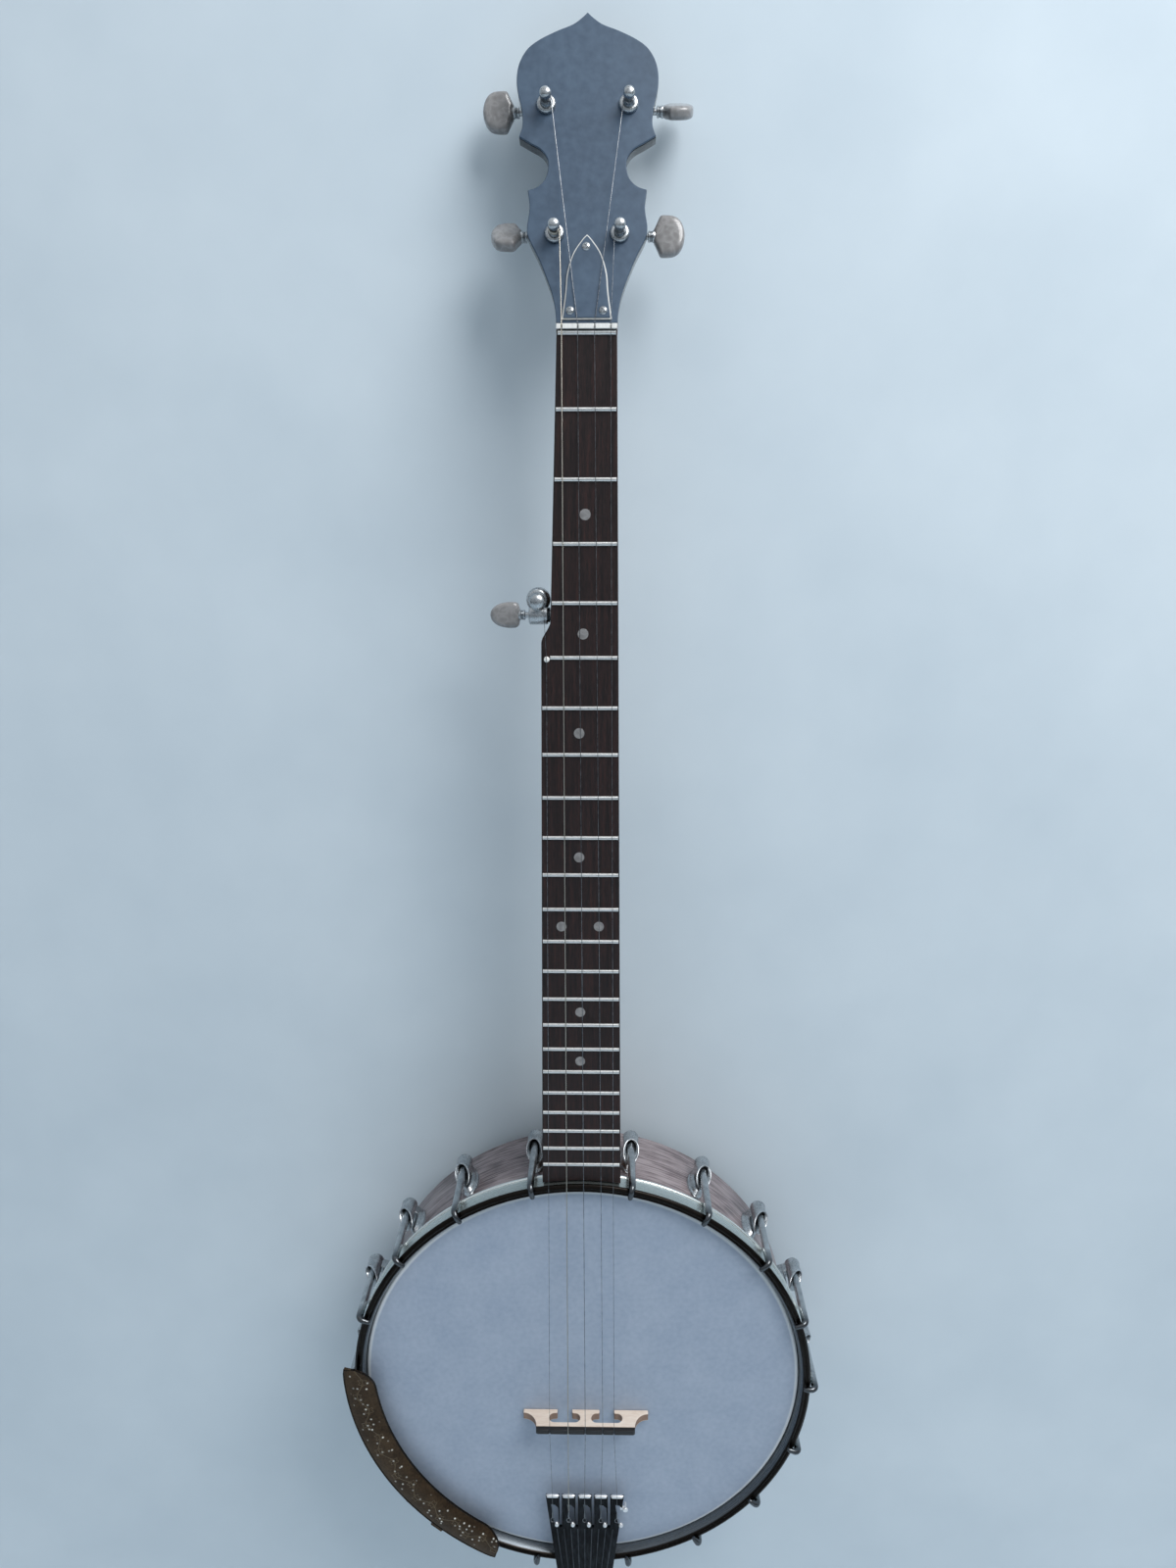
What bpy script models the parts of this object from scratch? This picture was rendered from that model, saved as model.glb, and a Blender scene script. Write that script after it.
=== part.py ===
"""Five-string open-back banjo with eighteen hooks, geared tuners, a tailpiece and an armrest.

All sizes are in millimetres, and each mesh is scaled to metres as it is made. +Z runs up the neck, the head
faces -Y, and the origin lies between the two prongs of a wall hanger, where the headstock flares.
"""
import bpy
import bmesh
from math import atan2, cos, degrees, hypot, pi, radians, sin, sqrt, tau
from mathutils import Euler, Matrix, Vector

MM = 0.001
POT_SIDES = 60
SEAT_GAP = 0.3          # between two pieces that sit on each other
RUNNING_GAP = 0.35      # around a worm or a gear
SHAFT_GAP = 0.15        # around a shaft, 0.1 over the flats of the bore

# Scale and pot
SCALE = 666.75          # zero fret to bridge, 26 1/4 inches
COMPENSATION = 0.5
BOARD_PAST_FRETS = 11.15  # board's end below the last fret
HEAD_SET_BACK = 4.74    # head centre behind the fingerboard's plane
NECK_PITCH = 1.65       # degrees that the neck leans back from the head
RIM_RADIUS = 139.7      # eleven-inch rim
RIM_WALL = 14.0
RIM_DEPTH = 70.0        # head surface to the rim's back edge
HEAD_SKIN = 0.5
SKIRT_GAP = 0.5         # rim to the skin's skirt
SKIRT_WALL = 1.0
FLESH_WIDTH = 3.2
FLESH_TOP = 5.6
FLESH_HEIGHT = 3.4
HOOP_WALL = 6.8
HOOP_FRONT = 5.5        # hoop's front edge before the head surface
HOOP_BACK = 9.5         # hoop's back edge behind the head surface
HOOP_LIP = 2.6          # how far the inner wall leans outwards at the front
HOOP_ROUND = 1.3

# Hooks and their shoes
HOOKS_PER_SIDE = 9
FIRST_HOOK_ANGLE = 12.0     # degrees from the neck
LAST_HOOK_ANGLE = 168.0
HOOK_RADIUS = 2.4
CLAW_RADIUS = 1.8
CLAW_REACH = 7.6        # claw's tip inwards of the rod's axis
NUT_RADIUS = 3.9
NUT_LENGTH = 8.6
SHOE_RING_RADIUS = 5.4
SHOE_RING_LENGTH = 9.0
SHOE_RING_MOUTH = 40.0  # ring's mouth behind the head surface
SHOE_FOOT_WIDTH = 11.6
SHOE_FOOT_FRONT = 22.5
SHOE_FOOT_HEIGHT = 5.2

# Fingerboard and neck
NUT_WIDTH = 31.3
NECK_AXIS_AT_NUT = 3.8  # nut and headstock centre right of the pot's axis
HEEL_WIDTH = 48.4
BOARD_THICKNESS = 6.0
FRET_COUNT = 22
FRET_WIDTH = 2.4
FRET_HEIGHT = 1.1
FRET_TANG = 1.2
FRET_INSET = 0.6
LEFT_EDGE_ABOVE_PEG = -16.2     # left edge beside the fifth-string tuner
STEP_START = 147.0      # left edge's step below the zero fret
STEP_END = 159.6
LEFT_EDGE_BELOW_STEP = -21.4
SHAFT_DEPTH_NUT = 14.0  # wood behind the fingerboard
SHAFT_DEPTH_HEEL = 17.5
HEEL_DEPTH = 58.0
HEEL_LENGTH = 83.0      # from the start of its curve to the hoop
HEEL_FLAT = 23.0        # full-depth stretch next to the hoop
NUT_BLOCK_LOW = 1.8
NUT_BLOCK_HEIGHT = 2.4
NUT_BLOCK_PROUD = 2.3
SLOT_WIDTH = 1.3
SLOT_DEPTH = 1.8

# Headstock
HEADSTOCK_PITCH = 13.0
HEADSTOCK_LIFT = 6.0    # headstock face starts this far above the zero fret
HEADSTOCK_DROP = 1.5    # and this far behind the fingerboard's plane
OVERLAY_THICKNESS = 1.5
HEADSTOCK_THICKNESS = 14.0
HEADSTOCK_SIDE = 6.0      # straight part of its side, behind the overlay
HEADSTOCK_CHAMFER = 5.0   # how far the back edge is drawn in
COVER_THICKNESS = 1.6
COVER_HALF_WIDTH = 12.9
COVER_HEIGHT = 43.8
POCKET_HALF_WIDTH = 6.5
POCKET_LOW = 2.5
POCKET_HIGH = 26.0
POCKET_DEPTH = 12.6
CHANNEL_HALF_WIDTH = 2.8
CHANNEL_DEPTH = 6.2
TRUSS_ROD_RADIUS = 2.4
TRUSS_NUT_RADIUS = 3.6
TRUSS_NUT_LOW = 9.0
TRUSS_NUT_LENGTH = 8.0
TRUSS_ROD_SHORT = 50.0  # rod ends this far before the fingerboard does
HANGER_HEIGHT = 22.0    # hanger line above the headstock's lower edge
HANGER_BEHIND = 8.0     # and behind its face

# Tuners: one gear size for all five
MODULE = 0.75
TOOTH_ADDENDUM = 0.55
TOOTH_DEDENDUM = 0.85
THREAD_THICKNESS = 0.80
TOOTH_THICKNESS = 0.86
FLANK_SLOPE = 0.22
LEAD = pi * MODULE
GEAR_FACE = 3.0
WORM_TURNS = 3
SHAFT_RADIUS = 1.6
JOURNAL_RADIUS = 1.5
POST_RADIUS = 3.0
POST_PROUD = 12.6       # post's tip before the overlay
BUTTON_START = 18.2     # button's inner end from the post's axis
BUTTON_LENGTH = 16.6
BUTTON_WIDTH = 21.6
BUTTON_THICKNESS = 7.0
BUTTON_TILTS = (0.0, 54.0, 36.0, 0.0)   # at rest, top edge back: third, second, fourth and first
COLLAR_RADIUS = 3.1
BUSHING_RING_RADIUS = 5.0
BUSHING_RING_HEIGHT = 2.6
BUSHING_SLEEVE_RADIUS = 4.1
UPPER_TUNER_HEIGHT = 110.8
UPPER_TUNER_SPREAD = 21.2
LOWER_TUNER_HEIGHT = 44.6
LOWER_TUNER_SPREAD = 16.8
MAIN_TEETH = 14
MAIN_WORM_PITCH_RADIUS = 2.95
HOUSING_WALL = 1.1

# Fifth-string tuner
FIFTH_TEETH = 13
FIFTH_WORM_PITCH_RADIUS = 3.5
FIFTH_POST_X = -23.2
FIFTH_WORM_BELOW = 144.7    # worm axis below the zero fret
FIFTH_WORM_BEHIND = 10.0    # worm axis behind the fingerboard's plane
FIFTH_POST_TIP = 9.0    # cap before the fingerboard's plane
FIFTH_CAP_RADIUS = 4.7
FIFTH_DRUM_RADIUS = 3.4
BARREL_HALF_LENGTH = 5.3
BARREL_WALL = 0.9
FIFTH_COLLAR_RADIUS = 4.2
COLLAR_END = 6.5
SHANK_RADIUS = 3.2
SHANK_END = 14.0
FIFTH_BUTTON_START = 10.3
FIFTH_BUTTON_LENGTH = 16.6
FIFTH_BUTTON_WIDTH = 14.4
PIP_X = -18.4
PIP_RADIUS = 1.6
PIP_BELOW_FRET = 0.9
PIP_PROUD = 2.0

# Bridge
BRIDGE_HEIGHT = 15.9    # five eighths of an inch
BRIDGE_CENTRE_X = 2.4
BRIDGE_BASE_HALF = 41.0
BRIDGE_TOP_HALF = 32.1
SADDLE_HEIGHT = 2.7
BRIDGE_FOOT_DEPTH = 5.8
BRIDGE_TOP_DEPTH = 3.4
FOOT_HEIGHT = 3.0
WINDOW_TOP = 9.9        # bridge windows end this far above the head
WINDOW_HALF = 10.2
WINDOW_CENTRE = 13.8    # window's centre from the middle of the bridge
FOOT_GAP_HALF = 4.8
NOTCH_WIDTH = 1.2
NOTCH_DEPTH = 0.8

# Tailpiece, armrest and rod
TAIL_REACH = 60.3       # tailpiece's front edge inside the hoop's outer radius
TAIL_CENTRE_X = 1.7
TAIL_FRONT_HALF = 26.1
TAIL_BACK_HALF = 20.6
TAIL_THICKNESS = 2.0
TAIL_TOP = 8.6          # plate's front surface before the head surface
TAIL_SLOT = 1.6
TAIL_SLOT_LENGTH = 26.0
TAIL_WINDOW_FRONT = 9.0
TAIL_WINDOW_LENGTH = 15.0
TAIL_WINDOW_HALF = 2.4
LEG_HALF = 9.0
LEG_THICKNESS = 1.8
ARMREST_START = 84.0    # degrees from the neck, on the left
ARMREST_END = 156.5
ARMREST_MIDDLE = 129.0  # where the plate lies furthest in
ARMREST_WIDTH = 18.7
ARMREST_INSIDE_HOOP = 0.6   # outer edge inside the hoop's outer radius, at the middle
ARMREST_SHIFT = 23.0    # centre of its circle beyond the pot's
ARMREST_TOP = 12.2      # crown before the head surface
ARMREST_EDGE_DROP = 3.4
ARMREST_THICKNESS = 1.3
ARMREST_INNER_CORNER = 7.0  # degrees over which the ends round off
ARMREST_OUTER_CORNER = 2.5
CLAMP_HALF = 4.5
CLAMP_THICKNESS = 1.6
CLAMP_HOOK = 5.4
CLAMP_ANGLES = (100.0, 139.0)
ROD_RADIUS = 4.8
ROD_BEHIND = 46.0       # coordinator rod behind the head surface
STUD_RADIUS = 2.9
STUD_IN_HEEL = 22.0
ROD_NUT_RADIUS = 5.5
ROD_NUT_LENGTH = 9.0

# Strings, from the fifth to the first
STRING_NAMES = ("fifth_string", "fourth_string", "third_string", "second_string", "first_string")
STRING_RADII = (0.13, 0.29, 0.20, 0.16, 0.13)
STRING_AT_NUT = (PIP_X, -9.2, -0.9, 7.8, 16.1)
STRING_AT_BRIDGE = (-20.8, -8.8, 2.3, 13.6, 20.9)
TAIL_STRING_SPACING = 10.8
STRING_LIFT_ON_POST = 4.2   # winding before the overlay
STRING_GAP = 0.05       # string to the fret that it lies on

PITCH = radians(NECK_PITCH)
FACE_PITCH = radians(HEADSTOCK_PITCH)
HOOP_INNER = RIM_RADIUS + SKIRT_GAP + SKIRT_WALL + SEAT_GAP
HOOP_OUTER = HOOP_INNER + HOOP_WALL
NECK_CUT_RADIUS = HOOP_OUTER + 0.35
BOARD_LENGTH = SCALE * (1 - 2 ** (-FRET_COUNT / 12)) + BOARD_PAST_FRETS
BRIDGE_BELOW_CENTRE = SCALE + COMPENSATION - BOARD_LENGTH - NECK_CUT_RADIUS
HEAD_IN_NECK = Vector((0, HEAD_SET_BACK, -(BOARD_LENGTH + NECK_CUT_RADIUS)))
NECK_TILT = Euler((-PITCH, 0, 0)).to_matrix()
FACE_TILT = Euler((-FACE_PITCH, 0, 0)).to_matrix()
FACE_IN_NECK = Vector((0, HEADSTOCK_DROP, HEADSTOCK_LIFT))
HANGER_IN_NECK = FACE_IN_NECK + FACE_TILT @ Vector((0, HANGER_BEHIND, HANGER_HEIGHT))
NECK_ORIGIN = -(NECK_TILT @ HANGER_IN_NECK)
HEAD_CENTRE = NECK_ORIGIN + NECK_TILT @ HEAD_IN_NECK
ARMREST_OUTER = HOOP_OUTER - ARMREST_INSIDE_HOOP
ARMREST_INNER = ARMREST_OUTER - ARMREST_WIDTH
TAIL_FRONT = HOOP_OUTER - TAIL_REACH
HOOK_ROD_RADIUS = HOOP_OUTER + SEAT_GAP + HOOK_RADIUS
HOOK_ANGLES = [FIRST_HOOK_ANGLE + i * (LAST_HOOK_ANGLE - FIRST_HOOK_ANGLE) / (HOOKS_PER_SIDE - 1)
               for i in range(HOOKS_PER_SIDE)]
WORM_OFFSET_MAIN = MODULE * MAIN_TEETH / 2 + MAIN_WORM_PITCH_RADIUS
WORM_OFFSET_FIFTH = MODULE * FIFTH_TEETH / 2 + FIFTH_WORM_PITCH_RADIUS
HEADSTOCK_BACK = OVERLAY_THICKNESS + SEAT_GAP + HEADSTOCK_THICKNESS
MAIN_WORM_BEHIND = (HEADSTOCK_BACK + SEAT_GAP + MAIN_WORM_PITCH_RADIUS + TOOTH_ADDENDUM + RUNNING_GAP)


# Solids: each is a list of points in millimetres and a list of faces

def grid(rows):
    """Skin over rows of points; rows that start and end at one point close up round."""
    across = len(rows[0])
    points = [point for row in rows for point in row]
    faces = []
    for j in range(len(rows) - 1):
        for i in range(across - 1):
            a = j * across + i
            faces.append((a, a + 1, a + 1 + across, a + across))
    return points, faces


def merged(*solids):
    """One list of points and faces that holds all the solids."""
    points = []
    faces = []
    for solid_points, solid_faces in solids:
        start = len(points)
        points.extend(solid_points)
        faces.extend(tuple(start + i for i in face) for face in solid_faces)
    return points, faces


def moved(solid, matrix):
    points, faces = solid
    return [matrix @ Vector(point) for point in points], faces


def prism(outline, front, back):
    """Plate with an (x, z) outline, from y = front to y = back."""
    count = len(outline)
    points = [(x, front, z) for x, z in outline] + [(x, back, z) for x, z in outline]
    faces = [tuple(range(count)), tuple(range(2 * count - 1, count - 1, -1))]
    for i in range(count):
        j = (i + 1) % count
        faces.append((i, j, count + j, count + i))
    return points, faces


def chamfered(outline, back_outline, front, middle, back):
    """Plate whose side runs straight from front to middle, then in to a smaller outline at the back."""
    count = len(outline)
    points = [(x, y, z) for y in (front, middle) for x, z in outline] + [(x, back, z) for x, z in back_outline]
    faces = [tuple(range(count)), tuple(range(3 * count - 1, 2 * count - 1, -1))]
    for i in range(2 * count):
        j = i + 1 if (i + 1) % count else i + 1 - count
        faces.append((i, j, count + j, count + i))
    return points, faces


def slab(section, half):
    """Piece with a (z, y) section, from x = -half to x = half."""
    count = len(section)
    points = [(x, y, z) for x in (-half, half) for z, y in section]
    faces = [tuple(range(count)), tuple(range(2 * count - 1, count - 1, -1))]
    faces += [(i, (i + 1) % count, count + (i + 1) % count, count + i) for i in range(count)]
    return points, faces


def box(low, high):
    outline = [(low[0], low[2]), (high[0], low[2]), (high[0], high[2]), (low[0], high[2])]
    return prism(outline, low[1], high[1])


def turned(profile, sides=24, axis="Y"):
    """Solid of revolution of (radius, distance) points about an axis; a closed profile makes a ring."""
    rows = []
    for radius, along in profile:
        row = []
        for i in range(sides + 1):
            turn = tau * (i % sides) / sides
            a = radius * cos(turn)
            b = radius * sin(turn)
            row.append({"X": (along, a, b), "Y": (b, along, a), "Z": (a, b, along)}[axis])
        rows.append(row)
    return grid(rows)


def cylinder(radius, low, high, sides=24, axis="Y"):
    return turned([(0, low), (radius, low), (radius, high), (0, high)], sides, axis)


def swept(path, radii, sides=8):
    """Round tube along a path, with a radius at each point and flat ends."""
    path = [Vector(point) for point in path]
    tangents = []
    for i in range(len(path)):
        before = path[max(i - 1, 0)]
        after = path[min(i + 1, len(path) - 1)]
        tangents.append((after - before).normalized())
    side = tangents[0].orthogonal().normalized()
    rows = [[path[0]] * (sides + 1)]
    for point, tangent, radius in zip(path, tangents, radii):
        side = (side - tangent * side.dot(tangent)).normalized()
        other = tangent.cross(side)
        row = []
        for i in range(sides + 1):
            turn = tau * (i % sides) / sides
            row.append(point + radius * (cos(turn) * side + sin(turn) * other))
        rows.append(row)
    rows.append([path[-1]] * (sides + 1))
    return grid(rows)


def smooth(points, steps=4):
    """Catmull-Rom curve through the points, each stretch in the given number of steps."""
    ends = [points[0]] + list(points) + [points[-1]]
    curve = []
    for i in range(1, len(ends) - 2):
        p0, p1, p2, p3 = (Vector(point) for point in ends[i - 1:i + 3])
        for k in range(steps):
            t = k / steps
            curve.append(0.5 * (2 * p1 + (p2 - p0) * t + (2 * p0 - 5 * p1 + 4 * p2 - p3) * t ** 2
                                + (3 * p1 - p0 - 3 * p2 + p3) * t ** 3))
    curve.append(Vector(points[-1]))
    return curve


def blend(a, b, t):
    """From a to b with a soft start and end, for t from 0 to 1."""
    t = min(max(t, 0.0), 1.0)
    return a + (b - a) * t * t * (3 - 2 * t)


# Objects

def material(name, colour, roughness, metallic=0.0):
    """Principled finish from an sRGB hex colour."""
    finish = bpy.data.materials.new(name)
    finish.use_nodes = True
    shader = finish.node_tree.nodes["Principled BSDF"]
    channels = [int(colour[i:i + 2], 16) / 255 for i in (0, 2, 4)]
    linear = [((c + 0.055) / 1.055) ** 2.4 if c > 0.04045 else c / 12.92 for c in channels]
    shader.inputs["Base Color"].default_value = (*linear, 1)
    shader.inputs["Roughness"].default_value = roughness
    shader.inputs["Metallic"].default_value = metallic
    return finish


def empty(name, location, tilt=(0, 0, 0), parent=None):
    frame = bpy.data.objects.new(name, None)
    frame.location = Vector(location) * MM
    frame.rotation_euler = tilt
    frame.parent = parent
    bpy.context.scene.collection.objects.link(frame)
    return frame


def piece(name, solid, finish, parent=None, at=(0, 0, 0), crease=35):
    """Object from a solid whose points are relative to its own place."""
    points, faces = solid
    mesh = bpy.data.meshes.new(name)
    mesh.from_pydata([Vector(point) * MM for point in points], [], faces)
    work = bmesh.new()
    work.from_mesh(mesh)
    bmesh.ops.remove_doubles(work, verts=work.verts, dist=0.002 * MM)
    bmesh.ops.recalc_face_normals(work, faces=work.faces)
    work.to_mesh(mesh)
    work.free()
    mesh.shade_smooth()
    mesh.set_sharp_from_angle(angle=radians(crease))
    mesh.materials.append(finish)
    made = bpy.data.objects.new(name, mesh)
    made.location = Vector(at) * MM
    made.parent = parent
    bpy.context.scene.collection.objects.link(made)
    return made


def combine(target, name, solid, operation, parent, at=(0, 0, 0)):
    """Boolean of a hidden helper solid with the target."""
    helper = piece(name, solid, target.data.materials[0], parent, at)
    helper.hide_render = True
    helper.display_type = "WIRE"
    step = target.modifiers.new(name, "BOOLEAN")
    step.operation = operation
    step.object = helper
    step.use_self = operation == "UNION"
    return helper


def cut(target, name, solid, parent, at=(0, 0, 0)):
    return combine(target, name, solid, "DIFFERENCE", parent, at)


def join(target, name, solid, parent, at=(0, 0, 0)):
    return combine(target, name, solid, "UNION", parent, at)


# Outlines of the neck

def fret_below_nut(number):
    return SCALE * (1 - 2 ** (-number / 12))


def right_edge(z):
    """Right edge of the fingerboard at a height z in the neck's frame."""
    nut_edge = NECK_AXIS_AT_NUT + NUT_WIDTH / 2
    return nut_edge + (HEEL_WIDTH / 2 - nut_edge) * min(-z, BOARD_LENGTH) / BOARD_LENGTH


def left_edge(z):
    """Left edge, with the step where the fifth string joins."""
    below = -z
    nut_edge = NECK_AXIS_AT_NUT - NUT_WIDTH / 2
    if below < STEP_START:
        return nut_edge + (LEFT_EDGE_ABOVE_PEG - nut_edge) * below / STEP_START
    if below < STEP_END:
        return blend(LEFT_EDGE_ABOVE_PEG, LEFT_EDGE_BELOW_STEP, (below - STEP_START) / (STEP_END - STEP_START))
    share = (min(below, BOARD_LENGTH) - STEP_END) / (BOARD_LENGTH - STEP_END)
    return LEFT_EDGE_BELOW_STEP + (-HEEL_WIDTH / 2 - LEFT_EDGE_BELOW_STEP) * share


def board_end(x):
    """Height of the fingerboard's end, which follows the hoop."""
    return HEAD_IN_NECK.z + sqrt(NECK_CUT_RADIUS ** 2 - x ** 2)


BOARD_TOP = NUT_BLOCK_LOW - SEAT_GAP


def board_outline():
    step_heights = [-(STEP_START + (STEP_END - STEP_START) * k / 6) for k in range(7)]
    left = [(left_edge(z), z) for z in [BOARD_TOP] + step_heights]
    half = HEEL_WIDTH / 2
    end = [(-half + 2 * half * k / 8, board_end(-half + 2 * half * k / 8)) for k in range(9)]
    return left + end + [(right_edge(BOARD_TOP), BOARD_TOP)]


HEADSTOCK_LOWER = [(15.7, -1.1), (16.5, 7), (18.6, 16), (24.4, 31), (29.9, 42.3), (31.0, 48.0), (29.7, 58), (30.7, 67.2)]
HEADSTOCK_WAIST = [(30.7, 67.2), (25.8, 68.9), (22.1, 72.4), (20.4, 77), (20.3, 82.6), (23.6, 87.8), (30.0, 91.6), (35.3, 94.8)]
HEADSTOCK_CROWN = [(35.3, 94.8), (33.5, 100.5), (33.9, 109), (36.4, 121), (35.6, 131), (31.6, 139), (25.4, 144.1),
                   (16.2, 148.7), (7.7, 152.1), (2.8, 155.6), (0, 158.3)]


def headstock_outline():
    half = []
    for stretch in (HEADSTOCK_LOWER, HEADSTOCK_WAIST, HEADSTOCK_CROWN):
        half.extend(smooth([(x, z, 0) for x, z in stretch], 2)[:-1])
    right = [(NECK_AXIS_AT_NUT + p.x, p.y) for p in half]
    left = [(NECK_AXIS_AT_NUT - p.x, p.y) for p in reversed(half)]
    return right + [(NECK_AXIS_AT_NUT, HEADSTOCK_CROWN[-1][1])] + left


def drawn_in(outline, width, top):
    """Outline moved inwards by a width that fades out near its top; evened directions keep its corners open."""
    sides = [Vector((b[0] - a[0], b[1] - a[1])) for a, b in zip(outline, outline[1:])]
    travel = [0.0]
    for side in sides:
        travel.append(travel[-1] + side.length)
    moved_points = []
    for (x, z), here in zip(outline, travel):
        inward = Vector((0, 0))
        for side, start in zip(sides, travel):
            near = max(1 - abs(start + side.length / 2 - here) / (1.6 * width), 0.02)
            inward += Vector((-side.y, side.x)) * near
        inward = inward.normalized() * min((top - z) / 2.8, width)
        moved_points.append((x + inward.x, z + inward.y))
    return moved_points


def cover_outline():
    """Truss rod cover: a flat foot, slightly hollow sides and a pointed top."""
    shares = [(1.0, 0.01), (0.86, 0.32), (0.79, 0.55), (0.56, 0.776), (0.2, 0.936), (0, 1.0)]
    half = smooth([(COVER_HALF_WIDTH * x, COVER_HEIGHT * z, 0) for x, z in shares], 2)
    right = [(NECK_AXIS_AT_NUT + p.x, p.y) for p in half]
    left = [(NECK_AXIS_AT_NUT - p.x, p.y) for p in reversed(half[:-1])]
    return right + left


# Neck pieces

def make_fingerboard(frame):
    board = piece("fingerboard", prism(board_outline(), 0, BOARD_THICKNESS), ROSEWOOD, frame)
    frets = []
    crown = [(-FRET_WIDTH / 2, 0.0), (-FRET_WIDTH * 0.28, -FRET_HEIGHT), (FRET_WIDTH * 0.28, -FRET_HEIGHT),
             (FRET_WIDTH / 2, 0.0), (FRET_WIDTH / 2, FRET_TANG), (-FRET_WIDTH / 2, FRET_TANG)]
    for number in range(FRET_COUNT + 1):
        z = -fret_below_nut(number)
        left = PIP_X + PIP_RADIUS + SEAT_GAP if number == 5 else left_edge(z) + FRET_INSET
        ends = (left, right_edge(z) - FRET_INSET)
        points = [(x, y, z + along) for x in ends for along, y in crown]
        count = len(crown)
        faces = [tuple(range(count)), tuple(range(2 * count - 1, count - 1, -1))]
        faces += [(i, (i + 1) % count, count + (i + 1) % count, count + i) for i in range(count)]
        frets.append((points, faces))
    join(board, "fret_bars", merged(*frets), frame)
    pip_z = -fret_below_nut(5) - PIP_BELOW_FRET
    hole = cylinder(PIP_RADIUS * 0.6 + SEAT_GAP, -2, BOARD_THICKNESS - 1.5, 12)
    cut(board, "pip_hole", hole, frame, (PIP_X, 0, pip_z))
    return board


def make_pip(frame):
    """Small round-headed post that the fifth string bears on at the fifth fret."""
    shank = PIP_RADIUS * 0.6
    profile = [(0, -PIP_PROUD), (PIP_RADIUS * 0.75, -PIP_PROUD), (PIP_RADIUS, -PIP_PROUD * 0.7),
               (PIP_RADIUS, -SEAT_GAP), (shank, -SEAT_GAP), (shank, BOARD_THICKNESS - 2), (0, BOARD_THICKNESS - 2)]
    piece("fifth_string_pip", turned(profile, 12), BONE, frame, (PIP_X, 0, -fret_below_nut(5) - PIP_BELOW_FRET))


def make_nut(frame):
    top = NUT_BLOCK_LOW + NUT_BLOCK_HEIGHT
    low = (NECK_AXIS_AT_NUT - NUT_WIDTH / 2, -NUT_BLOCK_PROUD, NUT_BLOCK_LOW)
    high = (NECK_AXIS_AT_NUT + NUT_WIDTH / 2, BOARD_THICKNESS, top)
    nut = piece("nut", box(low, high), BONE, frame)
    slots = [box((x - SLOT_WIDTH / 2, -NUT_BLOCK_PROUD - 1, NUT_BLOCK_LOW - 1),
                 (x + SLOT_WIDTH / 2, -NUT_BLOCK_PROUD + SLOT_DEPTH, top + 1)) for x in STRING_AT_NUT[1:]]
    cut(nut, "nut_slots", merged(*slots), frame)


def shaft_section(z):
    """Closed section of the neck behind the fingerboard: flat top and a round back that narrows at the heel."""
    left = left_edge(z)
    right = right_edge(z)
    below = -z
    heel_start = BOARD_LENGTH - HEEL_LENGTH
    depth = blend(SHAFT_DEPTH_NUT, SHAFT_DEPTH_HEEL, below / heel_start)
    heel = blend(0, 1, (below - heel_start) / (HEEL_LENGTH - HEEL_FLAT))
    depth = depth + (HEEL_DEPTH - depth) * heel
    top = BOARD_THICKNESS + SEAT_GAP
    middle = (left + right) / 2
    half = (right - left) / 2
    section = []
    steps = 10
    for k in range(steps + 1):
        turn = pi * k / steps
        narrow = 1 - 0.22 * heel * sin(turn)
        section.append(Vector((middle + half * cos(turn) * narrow, top + depth * sin(turn), z)))
    section.append(section[0].copy())
    return section


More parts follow.
